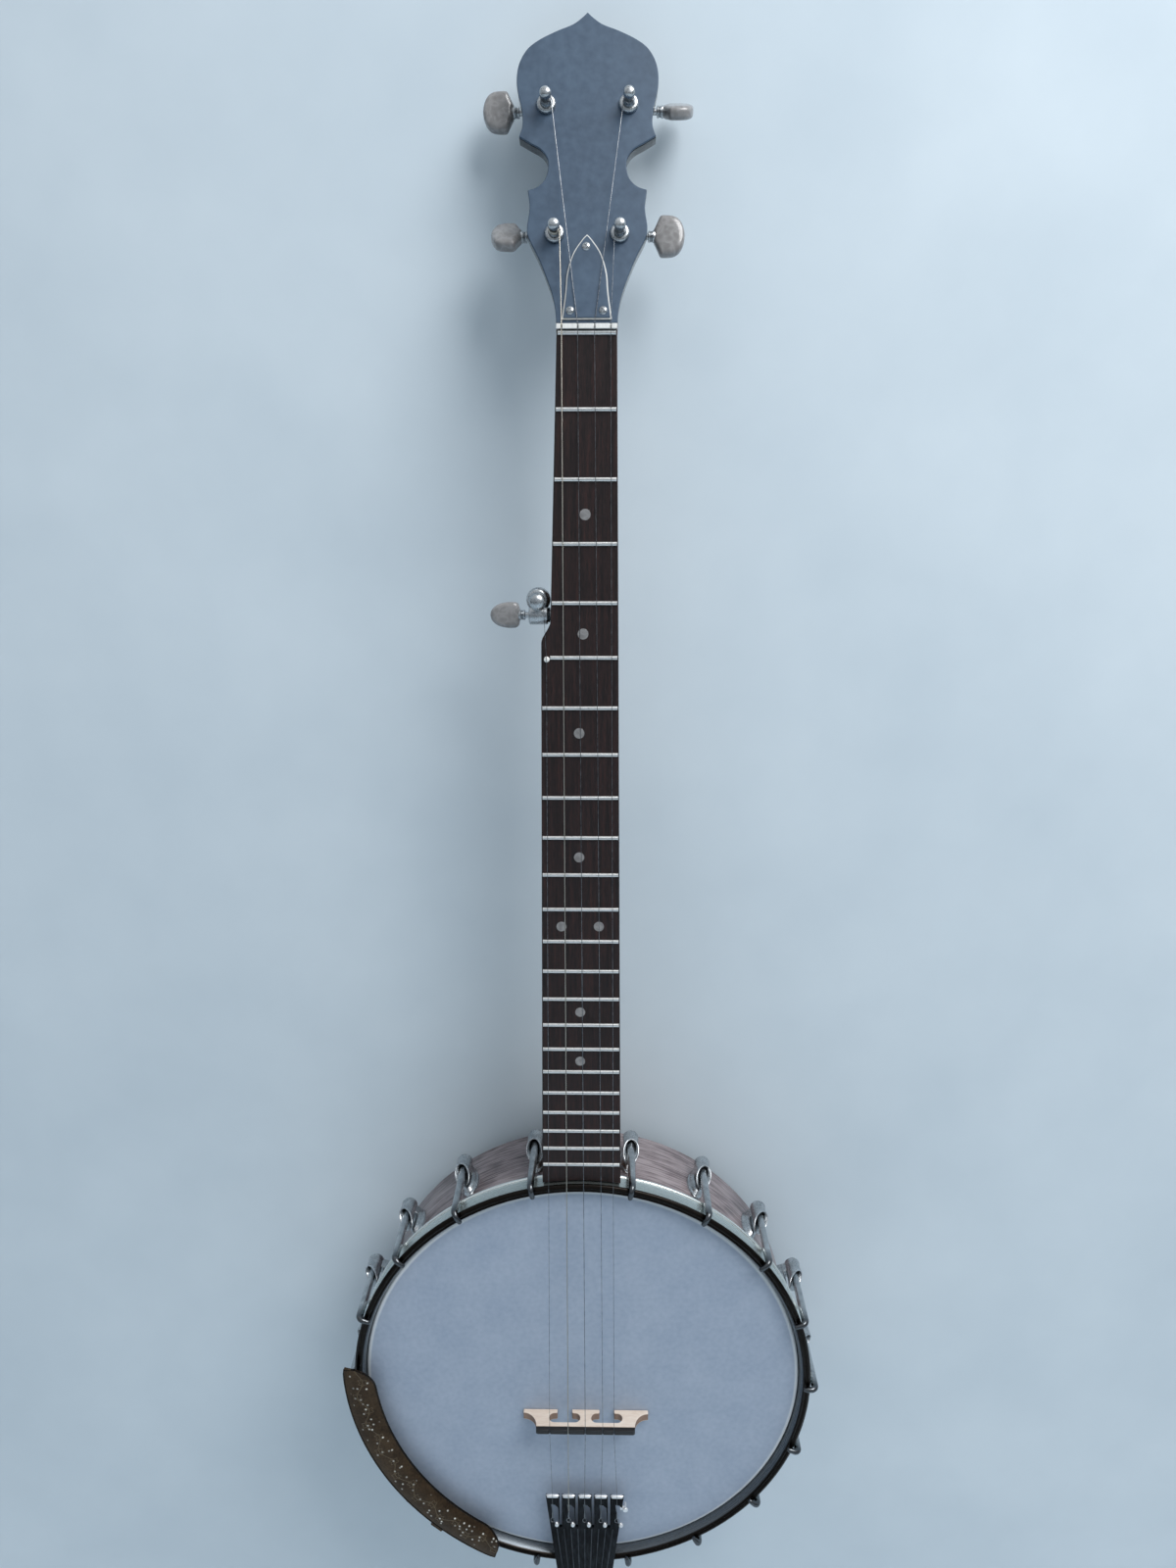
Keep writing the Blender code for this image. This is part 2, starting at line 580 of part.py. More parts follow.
def make_neck(frame, face_frame, pot_frame):
    heel_start = BOARD_LENGTH - HEEL_LENGTH
    heights = [NUT_BLOCK_LOW + NUT_BLOCK_HEIGHT - 1.6]
    heights += [-STEP_START * k / 4 for k in range(4)]
    heights += [-STEP_START - (STEP_END - STEP_START) * k / 3 for k in range(3)]
    heights += [-STEP_END - (heel_start - STEP_END) * k / 4 for k in range(4)]
    heights += [-heel_start - (HEEL_LENGTH - HEEL_FLAT) * k / 6 for k in range(7)]
    heights += [-(BOARD_LENGTH + HOOP_WALL * 2)]
    rows = [shaft_section(z) for z in heights]
    middle = Vector((0, BOARD_THICKNESS + 6, 0))
    first = middle + Vector((NECK_AXIS_AT_NUT, 0, heights[0]))
    last = middle + Vector((0, 0, heights[-1]))
    across = len(rows[0])
    neck = piece("neck", grid([[first] * across] + rows + [[last] * across]), MAPLE, frame)
    outline = [(x, z - 5.0 if z < 1 else z) for x, z in headstock_outline()]
    front = OVERLAY_THICKNESS + SEAT_GAP
    back_outline = drawn_in(outline, HEADSTOCK_CHAMFER, HEADSTOCK_CROWN[-1][1])
    head_block = chamfered(outline, back_outline, front, front + HEADSTOCK_SIDE, HEADSTOCK_BACK)
    join(neck, "headstock_slab", head_block, face_frame)
    nut_top = NUT_BLOCK_LOW + NUT_BLOCK_HEIGHT + SEAT_GAP
    step = box((-HEEL_WIDTH, -BOARD_THICKNESS * 2, -NUT_WIDTH), (HEEL_WIDTH, BOARD_THICKNESS + SEAT_GAP, nut_top))
    cut(neck, "fingerboard_seat", step, frame)
    hoop_back = HOOP_BACK + 0.35
    rim = RIM_RADIUS + SEAT_GAP
    past = HEEL_DEPTH * 2
    pot_space = turned([(0, -past), (NECK_CUT_RADIUS, -past), (NECK_CUT_RADIUS, hoop_back), (rim, hoop_back),
                        (rim, past), (0, past)], POT_SIDES)
    cut(neck, "pot_space", pot_space, pot_frame)
    channel_x = NECK_AXIS_AT_NUT / 2
    channel = box((channel_x - CHANNEL_HALF_WIDTH, BOARD_THICKNESS - 1, TRUSS_ROD_SHORT - 3 - BOARD_LENGTH),
                  (channel_x + CHANNEL_HALF_WIDTH, BOARD_THICKNESS + SEAT_GAP + CHANNEL_DEPTH, 24))
    cut(neck, "rod_channel", channel, frame)
    pocket = rod_pocket()
    cut(neck, "rod_pocket", pocket, face_frame)
    holes = [moved(cylinder(BUSHING_SLEEVE_RADIUS + SEAT_GAP, -3, HEADSTOCK_BACK + 3, 20), Matrix.Translation((x, 0, z)))
             for x, z in MAIN_TUNERS]
    cut(neck, "tuner_holes", merged(*holes), face_frame)
    shank = cylinder(SHANK_RADIUS + SEAT_GAP, -4, SHANK_END + 0.6, 20, "X")
    cut(neck, "fifth_tuner_hole", shank, frame, (FIFTH_POST_X, FIFTH_WORM_BEHIND, -FIFTH_WORM_BELOW))
    stud = cylinder(STUD_RADIUS + SEAT_GAP, RIM_RADIUS - 5, RIM_RADIUS + STUD_IN_HEEL + 1, 16, "Z")
    cut(neck, "stud_hole", stud, pot_frame, (0, ROD_BEHIND, 0))


def rod_pocket():
    """Space under the truss rod cover where the rod's nut turns."""
    return box((NECK_AXIS_AT_NUT - POCKET_HALF_WIDTH, -2, POCKET_LOW),
               (NECK_AXIS_AT_NUT + POCKET_HALF_WIDTH, POCKET_DEPTH, POCKET_HIGH))


def make_overlay(face_frame):
    overlay = piece("headstock_overlay", prism(headstock_outline(), 0, OVERLAY_THICKNESS), BLACK_LACQUER, face_frame)
    cut(overlay, "overlay_pocket", rod_pocket(), face_frame)
    holes = [moved(cylinder(BUSHING_SLEEVE_RADIUS + SEAT_GAP, -3, 6, 20), Matrix.Translation((x, 0, z)))
             for x, z in MAIN_TUNERS]
    cut(overlay, "overlay_holes", merged(*holes), face_frame)


def make_truss_rod(frame):
    """Rod in its channel under the fingerboard, with the nut that bends the neck back."""
    place = (NECK_AXIS_AT_NUT / 2, BOARD_THICKNESS + SEAT_GAP + CHANNEL_DEPTH - TRUSS_ROD_RADIUS - SEAT_GAP, 0)
    high = TRUSS_NUT_LOW + TRUSS_NUT_LENGTH
    rod = cylinder(TRUSS_ROD_RADIUS, TRUSS_ROD_SHORT - BOARD_LENGTH, high - 2, 12, "Z")
    piece("truss_rod", rod, STEEL, frame, place)
    bore = TRUSS_ROD_RADIUS + SEAT_GAP
    ring = [(bore, TRUSS_NUT_LOW), (TRUSS_NUT_RADIUS, TRUSS_NUT_LOW), (TRUSS_NUT_RADIUS, high), (bore, high),
            (bore, TRUSS_NUT_LOW)]
    piece("truss_rod_nut", turned(ring, 12, "Z"), BRASS, frame, place)


def make_cover(face_frame):
    front = -SEAT_GAP - COVER_THICKNESS
    piece("truss_rod_cover", prism(cover_outline(), front, -SEAT_GAP), BLACK_LACQUER, face_frame)


# Tuners

def worm_rows(pitch_radius, sides=10):
    """Rows of a right-handed thread about X, with a crest at x = 0 on the side that faces the gear.

    A row climbs one lead in a turn, so a row's last point is the first point of the row four further on. The
    rows are held inside the worm's length, where the thread runs out.
    """
    half_length = WORM_TURNS * LEAD / 2
    root = pitch_radius - TOOTH_DEDENDUM
    crest = pitch_radius + TOOTH_ADDENDUM
    half_crest = THREAD_THICKNESS / 2 - FLANK_SLOPE * TOOTH_ADDENDUM
    half_root = THREAD_THICKNESS / 2 + FLANK_SLOPE * TOOTH_DEDENDUM
    corners = [(-half_root, root), (-half_crest, crest), (half_crest, crest), (half_root, root)]
    facing = -pi / 2
    rows = []
    for turn_number in range(-WORM_TURNS // 2 - 2, WORM_TURNS // 2 + 3):
        for offset, radius in corners:
            row = []
            for i in range(sides + 1):
                turn = tau * i / sides
                x = LEAD * (turn_number + (turn - facing) / tau) + offset
                kept = min(max(x, -half_length), half_length)
                edge = min((half_length - abs(kept)) / (LEAD * 0.3), 1.0)
                r = root + (radius - root) * edge
                row.append((kept, r * cos(turn), r * sin(turn)))
            rows.append(row)
    return rows


def shaft_row(radius, x, sides=10):
    row = []
    for i in range(sides + 1):
        turn = tau * i / sides
        row.append((x, radius * cos(turn), radius * sin(turn)))
    return row


def worm_shaft(pitch_radius, journal_end, collar_start, button_start):
    """Worm, its two journals and the collar that the button is pressed on, about X."""
    tail = [shaft_row(0, -journal_end), shaft_row(SHAFT_RADIUS, -journal_end),
            shaft_row(SHAFT_RADIUS, -WORM_TURNS * LEAD / 2)]
    nose = [shaft_row(SHAFT_RADIUS, WORM_TURNS * LEAD / 2), shaft_row(SHAFT_RADIUS, collar_start),
            shaft_row(COLLAR_RADIUS, collar_start), shaft_row(COLLAR_RADIUS, button_start + 1.5),
            shaft_row(0, button_start + 1.5)]
    return grid(tail + worm_rows(pitch_radius) + nose)


def button_plate(start, length, width, thickness):
    """Plate with slanted shoulders and a rounded end, in the plane of the shaft and the post, about X."""
    half = width / 2
    outline = [(0.0, 0.30), (0.22, 1.0), (0.45, 1.0), (0.66, 0.96), (0.85, 0.76), (0.95, 0.46), (1.0, 0.16)]
    upper = [(start + x * length, z * half) for x, z in outline]
    lower = [(x, -z) for x, z in reversed(upper)]
    ring = upper + lower
    rows = []
    centre_x = start + length / 2
    for y, shrink in ((-0.5, 0.0), (-0.5, 0.86), (-0.28, 1.0), (0.28, 1.0), (0.5, 0.86), (0.5, 0.0)):
        row = [(centre_x + (x - centre_x) * shrink, y * thickness, z * shrink) for x, z in ring]
        rows.append(row + row[:1])
    return grid(rows)


def gear(teeth, worm_pitch_radius):
    """Gear about Y whose teeth follow the worm's thread; a gap faces the worm at +Z."""
    pitch_radius = MODULE * teeth / 2
    root = pitch_radius - TOOTH_DEDENDUM
    crest = pitch_radius + TOOTH_ADDENDUM
    thread_slope = LEAD / (tau * worm_pitch_radius)
    half_crest = (TOOTH_THICKNESS / 2 - FLANK_SLOPE * TOOTH_ADDENDUM) / crest
    half_root = (TOOTH_THICKNESS / 2 + FLANK_SLOPE * TOOTH_DEDENDUM) / root
    rows = []
    for y, share in ((-GEAR_FACE / 2, 0), (-GEAR_FACE / 2, 1), (GEAR_FACE / 2, 1), (GEAR_FACE / 2, 0)):
        twist = y * thread_slope / pitch_radius
        row = []
        for tooth in range(teeth):
            middle = tau * (tooth + 0.5) / teeth + twist
            for turn, radius in ((-half_root, root), (-half_crest, crest), (half_crest, crest), (half_root, root)):
                r = radius * share
                row.append((r * sin(middle + turn), y, r * cos(middle + turn)))
        rows.append(row + row[:1])
    return grid(rows)


def make_worm_pair(label, frame, teeth, worm_pitch_radius, worm_behind, offset, post_profile, button, tilt, side, tail):
    """Post with its gear, and button with its worm, each about its own axis."""
    post = piece(label + "_post", turned(post_profile, 12), NICKEL, frame)
    join(post, label + "_gear_blank", gear(teeth, worm_pitch_radius), frame, (0, worm_behind, 0))
    start, length, width = button
    shaft = worm_shaft(worm_pitch_radius, tail, start - 3.0, start)
    plate = button_plate(start, length, width, BUTTON_THICKNESS)
    if side < 0:
        half_turn = Matrix.Rotation(pi, 4, "Z")
        shaft = moved(shaft, half_turn)
        plate = moved(plate, half_turn)
    plate = moved(plate, Matrix.Rotation(radians(-tilt), 4, "X"))
    knob = piece(label + "_button", plate, PEARLOID, frame, (0, worm_behind, offset))
    join(knob, label + "_worm_shaft", shaft, frame, (0, worm_behind, offset))


def make_main_tuner(label, face_frame, x, z, tilt, side):
    """Geared tuner: housing behind the headstock, bushing through it, post and button."""
    frame = empty(label + "_frame", (x, 0, z), parent=face_frame)
    gear_outer = MODULE * MAIN_TEETH / 2 + TOOTH_ADDENDUM
    worm_outer = MAIN_WORM_PITCH_RADIUS + TOOTH_ADDENDUM
    front = HEADSTOCK_BACK + SEAT_GAP
    inside_half = WORM_TURNS * LEAD / 2 + RUNNING_GAP
    inside_half = max(inside_half, gear_outer + RUNNING_GAP)
    inside_low = -gear_outer - RUNNING_GAP
    inside_high = WORM_OFFSET_MAIN + worm_outer + RUNNING_GAP
    inside_back = MAIN_WORM_BEHIND + worm_outer + RUNNING_GAP
    low = (-inside_half - HOUSING_WALL, front, inside_low - HOUSING_WALL)
    high = (inside_half + HOUSING_WALL, inside_back + HOUSING_WALL, inside_high + HOUSING_WALL)
    housing = piece(label + "_housing", box(low, high), NICKEL, frame)
    bevel = housing.modifiers.new("edges", "BEVEL")
    bevel.width = 0.9 * MM
    bevel.segments = 1
    inside = box((-inside_half, front - 1, inside_low), (inside_half, inside_back, inside_high))
    bore = moved(cylinder(SHAFT_RADIUS + SHAFT_GAP, -inside_half - 4, inside_half + 4, 12, "X"),
                 Matrix.Translation((0, MAIN_WORM_BEHIND, WORM_OFFSET_MAIN)))
    journal = cylinder(JOURNAL_RADIUS + SHAFT_GAP, inside_back - 1, inside_back + 4, 12)
    cut(housing, label + "_inside", inside, frame)
    cut(housing, label + "_shaft_bore", bore, frame)
    cut(housing, label + "_journal_bore", journal, frame)
    bore_radius = POST_RADIUS + SHAFT_GAP
    ring = [(bore_radius, -BUSHING_RING_HEIGHT), (BUSHING_RING_RADIUS - 0.7, -BUSHING_RING_HEIGHT),
            (BUSHING_RING_RADIUS, -BUSHING_RING_HEIGHT + 0.8), (BUSHING_RING_RADIUS, -SEAT_GAP),
            (BUSHING_SLEEVE_RADIUS, -SEAT_GAP), (BUSHING_SLEEVE_RADIUS, HEADSTOCK_BACK - 0.5),
            (bore_radius, HEADSTOCK_BACK - 0.5), (bore_radius, -BUSHING_RING_HEIGHT)]
    piece(label + "_bushing", turned(ring, 16), NICKEL, frame)
    waist = POST_RADIUS * 0.82
    gear_front = MAIN_WORM_BEHIND - GEAR_FACE / 2
    profile = [(0, -POST_PROUD), (POST_RADIUS * 0.6, -POST_PROUD + 0.3), (POST_RADIUS, -POST_PROUD + 1.6),
               (POST_RADIUS, -9.5), (waist, -8.0), (waist, -STRING_LIFT_ON_POST), (POST_RADIUS, -3.0),
               (POST_RADIUS, gear_front + 0.5), (JOURNAL_RADIUS, gear_front + 0.5), (JOURNAL_RADIUS, inside_back + HOUSING_WALL),
               (0, inside_back + HOUSING_WALL)]
    make_worm_pair(label, frame, MAIN_TEETH, MAIN_WORM_PITCH_RADIUS, MAIN_WORM_BEHIND, WORM_OFFSET_MAIN,
                   profile, (BUTTON_START, BUTTON_LENGTH, BUTTON_WIDTH), tilt, side, inside_half + HOUSING_WALL)


def make_fifth_tuner(frame):
    """Fifth-string tuner in the neck's left side: its frame is turned over, so the worm lies below the post."""
    z = -FIFTH_WORM_BELOW + WORM_OFFSET_FIFTH
    local = empty("fifth_tuner_frame", (FIFTH_POST_X, 0, z), (0, pi, 0), frame)
    worm_outer = FIFTH_WORM_PITCH_RADIUS + TOOTH_ADDENDUM
    gear_outer = MODULE * FIFTH_TEETH / 2 + TOOTH_ADDENDUM
    barrel_inner = worm_outer + RUNNING_GAP
    barrel_outer = barrel_inner + BARREL_WALL
    chamber_inner = gear_outer + RUNNING_GAP
    chamber_outer = chamber_inner + BARREL_WALL
    centre = Matrix.Translation((0, FIFTH_WORM_BEHIND, WORM_OFFSET_FIFTH))
    barrel = turned([(0, -SHANK_END), (SHANK_RADIUS, -SHANK_END), (SHANK_RADIUS, -COLLAR_END), (FIFTH_COLLAR_RADIUS, -COLLAR_END),
                     (FIFTH_COLLAR_RADIUS, -BARREL_HALF_LENGTH), (barrel_outer, -BARREL_HALF_LENGTH),
                     (barrel_outer, BARREL_HALF_LENGTH), (0, BARREL_HALF_LENGTH)], 24, "X")
    chamber_front = FIFTH_WORM_BEHIND - GEAR_FACE / 2 - RUNNING_GAP
    chamber_back = FIFTH_WORM_BEHIND + GEAR_FACE / 2 + RUNNING_GAP
    housing = piece("fifth_tuner_housing", moved(barrel, centre), NICKEL, local)
    chamber = turned([(0, chamber_front - 1.6), (chamber_outer - 1.2, chamber_front - 1.6),
                      (chamber_outer, chamber_front - 0.6), (chamber_outer, chamber_back + BARREL_WALL),
                      (0, chamber_back + BARREL_WALL)], 24)
    join(housing, "gear_chamber", chamber, local)
    half_worm = WORM_TURNS * LEAD / 2 + RUNNING_GAP
    gear_space = cylinder(chamber_inner, chamber_front, chamber_back, 24)
    worm_space = moved(cylinder(barrel_inner, -half_worm, half_worm, 24, "X"), centre)
    shaft_bore = moved(cylinder(SHAFT_RADIUS + SHAFT_GAP, -half_worm - 2.2, 8, 14, "X"), centre)
    post_bore = cylinder(POST_RADIUS + SHAFT_GAP, -6, chamber_front + 1, 16)
    journal_bore = cylinder(JOURNAL_RADIUS + SHAFT_GAP, chamber_back - 1, chamber_back + 3, 12)
    cut(housing, "gear_space", gear_space, local)
    cut(housing, "worm_space", worm_space, local)
    cut(housing, "fifth_shaft_bore", shaft_bore, local)
    cut(housing, "fifth_post_bore", post_bore, local)
    cut(housing, "fifth_journal_bore", journal_bore, local)
    drum_back = chamber_front - 1.6 - 1.2
    gear_front = FIFTH_WORM_BEHIND - GEAR_FACE / 2
    tip = -FIFTH_POST_TIP
    profile = [(0, tip), (FIFTH_CAP_RADIUS * 0.55, tip + 0.5), (FIFTH_CAP_RADIUS * 0.9, tip + 2.0),
               (FIFTH_CAP_RADIUS, tip + 3.6), (FIFTH_CAP_RADIUS, tip + 4.8), (FIFTH_DRUM_RADIUS, tip + 5.6),
               (FIFTH_DRUM_RADIUS, drum_back), (POST_RADIUS, drum_back + 0.6), (POST_RADIUS, gear_front + 0.4),
               (JOURNAL_RADIUS, gear_front + 0.4), (JOURNAL_RADIUS, chamber_back + BARREL_WALL), (0, chamber_back + BARREL_WALL)]
    make_worm_pair("fifth_tuner", local, FIFTH_TEETH, FIFTH_WORM_PITCH_RADIUS, FIFTH_WORM_BEHIND, WORM_OFFSET_FIFTH,
                   profile, (FIFTH_BUTTON_START, FIFTH_BUTTON_LENGTH, FIFTH_BUTTON_WIDTH), 0.0, 1, half_worm + 1.8)


# Pot

def around(angle, radius, behind=0.0):
    """Place beside the pot: an angle clockwise from the neck, a radius and a depth behind the head."""
    turn = radians(angle)
    return Vector((radius * sin(turn), behind, radius * cos(turn)))


def hook_shoe():
    """Shoe at the neck's side of the pot: a domed oval foot with a short ring that holds the hook."""
    foot_length = SHOE_RING_MOUTH + SHOE_RING_LENGTH - SHOE_FOOT_FRONT
    middle = SHOE_FOOT_FRONT + foot_length / 2
    rows = []
    for height, share in ((-1.5, 0.0), (-1.5, 1.0), (1.2, 1.0), (SHOE_FOOT_HEIGHT, 0.62), (SHOE_FOOT_HEIGHT, 0.0)):
        row = []
        for i in range(9):
            turn = tau * (i % 8) / 8
            row.append((SHOE_FOOT_WIDTH / 2 * share * cos(turn), middle + foot_length / 2 * share * sin(turn),
                        RIM_RADIUS + height))
        rows.append(row)
    foot = grid(rows)
    back = SHOE_RING_MOUTH + SHOE_RING_LENGTH
    bore = HOOK_RADIUS + SEAT_GAP
    ring = turned([(bore, SHOE_RING_MOUTH), (SHOE_RING_RADIUS, SHOE_RING_MOUTH), (SHOE_RING_RADIUS, back),
                   (bore, back), (bore, SHOE_RING_MOUTH)], 8)
    ring = moved(ring, Matrix.Translation((0, 0, HOOK_ROD_RADIUS)))
    neck = box((-2.6, SHOE_RING_MOUTH + 0.8, RIM_RADIUS - 1), (2.6, back - 0.8, HOOK_ROD_RADIUS - bore - 0.8))
    return merged(foot, ring, neck)


def all_hook_angles():
    return [angle * side for angle in HOOK_ANGLES for side in (1, -1)]


def make_rim(pot_frame):
    front = HEAD_SKIN + SEAT_GAP
    inner = RIM_RADIUS - RIM_WALL
    profile = [(inner, front + 2), (RIM_RADIUS - 5, front), (RIM_RADIUS - 1.5, front + 0.2),
               (RIM_RADIUS, front + 2), (RIM_RADIUS, RIM_DEPTH), (inner, RIM_DEPTH), (inner, front + 2)]
    rim = piece("rim", turned(profile, POT_SIDES), STAINED_MAPLE, pot_frame)
    shoes = [moved(hook_shoe(), Matrix.Rotation(radians(angle), 4, "Y")) for angle in all_hook_angles()]
    join(rim, "hook_shoes", merged(*shoes), pot_frame)
    holes = merged(cylinder(STUD_RADIUS + SEAT_GAP, inner - 4, RIM_RADIUS + 9, 16, "Z"),
                   cylinder(STUD_RADIUS + SEAT_GAP, -RIM_RADIUS - 9, -inner + 4, 16, "Z"))
    cut(rim, "rod_holes", holes, pot_frame, (0, ROD_BEHIND, 0))


def make_head(pot_frame):
    skirt_inner = RIM_RADIUS + SKIRT_GAP
    skirt_outer = skirt_inner + SKIRT_WALL
    flesh_back = FLESH_TOP + FLESH_HEIGHT
    profile = [(0, 0), (skirt_outer, 0), (skirt_outer, FLESH_TOP),
               (skirt_inner + FLESH_WIDTH, FLESH_TOP), (skirt_inner + FLESH_WIDTH, flesh_back),
               (skirt_inner, flesh_back), (skirt_inner, HEAD_SKIN), (0, HEAD_SKIN)]
    piece("head", turned(profile, POT_SIDES), HEAD_FILM, pot_frame)


def make_hoop(pot_frame):
    inner = HOOP_INNER
    rabbet = inner + FLESH_WIDTH - SKIRT_WALL
    ledge = FLESH_TOP - SEAT_GAP
    profile = [(inner, 0), (inner + HOOP_LIP * 0.5, -HOOP_FRONT + 1.6), (inner + HOOP_LIP, -HOOP_FRONT),
               (HOOP_OUTER - HOOP_ROUND, -HOOP_FRONT), (HOOP_OUTER, -HOOP_FRONT + HOOP_ROUND),
               (HOOP_OUTER, HOOP_BACK), (rabbet, HOOP_BACK), (rabbet, ledge), (inner, ledge), (inner, 0)]
    piece("tension_hoop", turned(profile, POT_SIDES), CHROME, pot_frame)


def hook_solid():
    """Hook from the claw's tip over the hoop and down its rod to the nut, in the plane of the pot's axis."""
    out = HOOK_ROD_RADIUS
    claw_top = -HOOP_FRONT - SEAT_GAP - CLAW_RADIUS
    nut_front = SHOE_RING_MOUTH + SHOE_RING_LENGTH + SEAT_GAP
    nut_back = nut_front + NUT_LENGTH
    along = [(out - CLAW_REACH, claw_top, CLAW_RADIUS * 0.8), (out - CLAW_REACH * 0.45, claw_top, CLAW_RADIUS),
             (out - 1.2, claw_top + 0.4, CLAW_RADIUS * 1.15), (out, claw_top + 2.4, HOOK_RADIUS),
             (out, claw_top + 8, HOOK_RADIUS), (out, nut_front - 0.01, HOOK_RADIUS), (out, nut_front, NUT_RADIUS),
             (out, nut_back - 4.2, NUT_RADIUS), (out, nut_back - 3.6, NUT_RADIUS * 0.8),
             (out, nut_back - 1.4, NUT_RADIUS * 0.7), (out, nut_back, NUT_RADIUS * 0.3)]
    path = [(0, y, z) for z, y, radius in along]
    return swept(path, [radius for z, y, radius in along], 8)


def make_hooks(pot_frame):
    for side, word in ((1, "right"), (-1, "left")):
        for number, angle in enumerate(HOOK_ANGLES, 1):
            turn = Matrix.Rotation(radians(angle * side), 4, "Y")
            piece(f"hook_{word}_{number}", moved(hook_solid(), turn), NICKEL, pot_frame)


# Bridge

def bridge_outline(side_points):
    right = [(BRIDGE_CENTRE_X + x, y) for x, y in side_points]
    left = [(BRIDGE_CENTRE_X - x, y) for x, y in reversed(side_points)]
    return right + left


def bridge_plate(outline, depth_at):
    """Upright plate across the head: an (x, height) outline whose depth depends on the height."""
    front = [(x, -height, depth_at(height) / 2) for x, height in outline]
    back = [(x, -height, -depth_at(height) / 2) for x, height in outline]
    count = len(outline)
    faces = [tuple(range(count)), tuple(range(2 * count - 1, count - 1, -1))]
    faces += [(i, (i + 1) % count, count + (i + 1) % count, count + i) for i in range(count)]
    return front + back, faces


def bridge_depth(height):
    return BRIDGE_FOOT_DEPTH + (BRIDGE_TOP_DEPTH - BRIDGE_FOOT_DEPTH) * height / BRIDGE_HEIGHT


def make_bridge(pot_frame):
    wood_top = BRIDGE_HEIGHT - SADDLE_HEIGHT - SEAT_GAP
    rise = wood_top - FOOT_HEIGHT
    run = BRIDGE_BASE_HALF - BRIDGE_TOP_HALF
    hollow = [(BRIDGE_BASE_HALF - run * sin(pi / 2 * k / 4), FOOT_HEIGHT + rise * (1 - cos(pi / 2 * k / 4)))
              for k in range(5)]
    outline = bridge_outline([(BRIDGE_BASE_HALF, SEAT_GAP)] + hollow)
    place = (0, 0, -BRIDGE_BELOW_CENTRE)
    base = piece("bridge_base", bridge_plate(outline, bridge_depth), BRIDGE_MAPLE, pot_frame, place)
    middle = (WINDOW_TOP + FOOT_HEIGHT) / 2
    radius = (WINDOW_TOP - FOOT_HEIGHT) / 2
    windows = []
    for side in (1, -1):
        x = BRIDGE_CENTRE_X + side * WINDOW_CENTRE
        straight = WINDOW_HALF - radius
        slot = [(x + straight + radius * sin(pi * k / 6), -middle + radius * cos(pi * k / 6)) for k in range(7)]
        slot += [(x - straight - radius * sin(pi * k / 6), -middle - radius * cos(pi * k / 6)) for k in range(7)]
        points = [(px, py, z) for z in (-9, 9) for px, py in slot]
        count = len(slot)
        faces = [tuple(range(count)), tuple(range(2 * count - 1, count - 1, -1))]
        faces += [(i, (i + 1) % count, count + (i + 1) % count, count + i) for i in range(count)]
        windows.append((points, faces))
        windows.append(box((x - FOOT_GAP_HALF, -middle, -9), (x + FOOT_GAP_HALF, 2, 9)))
    for number, window in enumerate(windows, 1):
        cut(base, f"bridge_window_{number}", window, pot_frame, place)
    cap = bridge_outline([(BRIDGE_TOP_HALF, BRIDGE_HEIGHT - SADDLE_HEIGHT), (BRIDGE_TOP_HALF, BRIDGE_HEIGHT - 1.0),
                          (BRIDGE_TOP_HALF - 1.2, BRIDGE_HEIGHT)])
    saddle = piece("bridge_saddle", bridge_plate(cap, bridge_depth), EBONY, pot_frame, place)
    notches = [box((x - NOTCH_WIDTH / 2, -BRIDGE_HEIGHT - 1, -6), (x + NOTCH_WIDTH / 2, -BRIDGE_HEIGHT + NOTCH_DEPTH, 6))
               for x in STRING_AT_BRIDGE]
    cut(saddle, "string_notches", merged(*notches), pot_frame, place)


# Tailpiece, rod and armrest

def tail_string_x(number):
    return TAIL_CENTRE_X + (number - 2) * TAIL_STRING_SPACING


def tail_half(below):
    share = (below - TAIL_FRONT) / (HOOP_OUTER - TAIL_FRONT)
    return TAIL_FRONT_HALF + (TAIL_BACK_HALF - TAIL_FRONT_HALF) * share


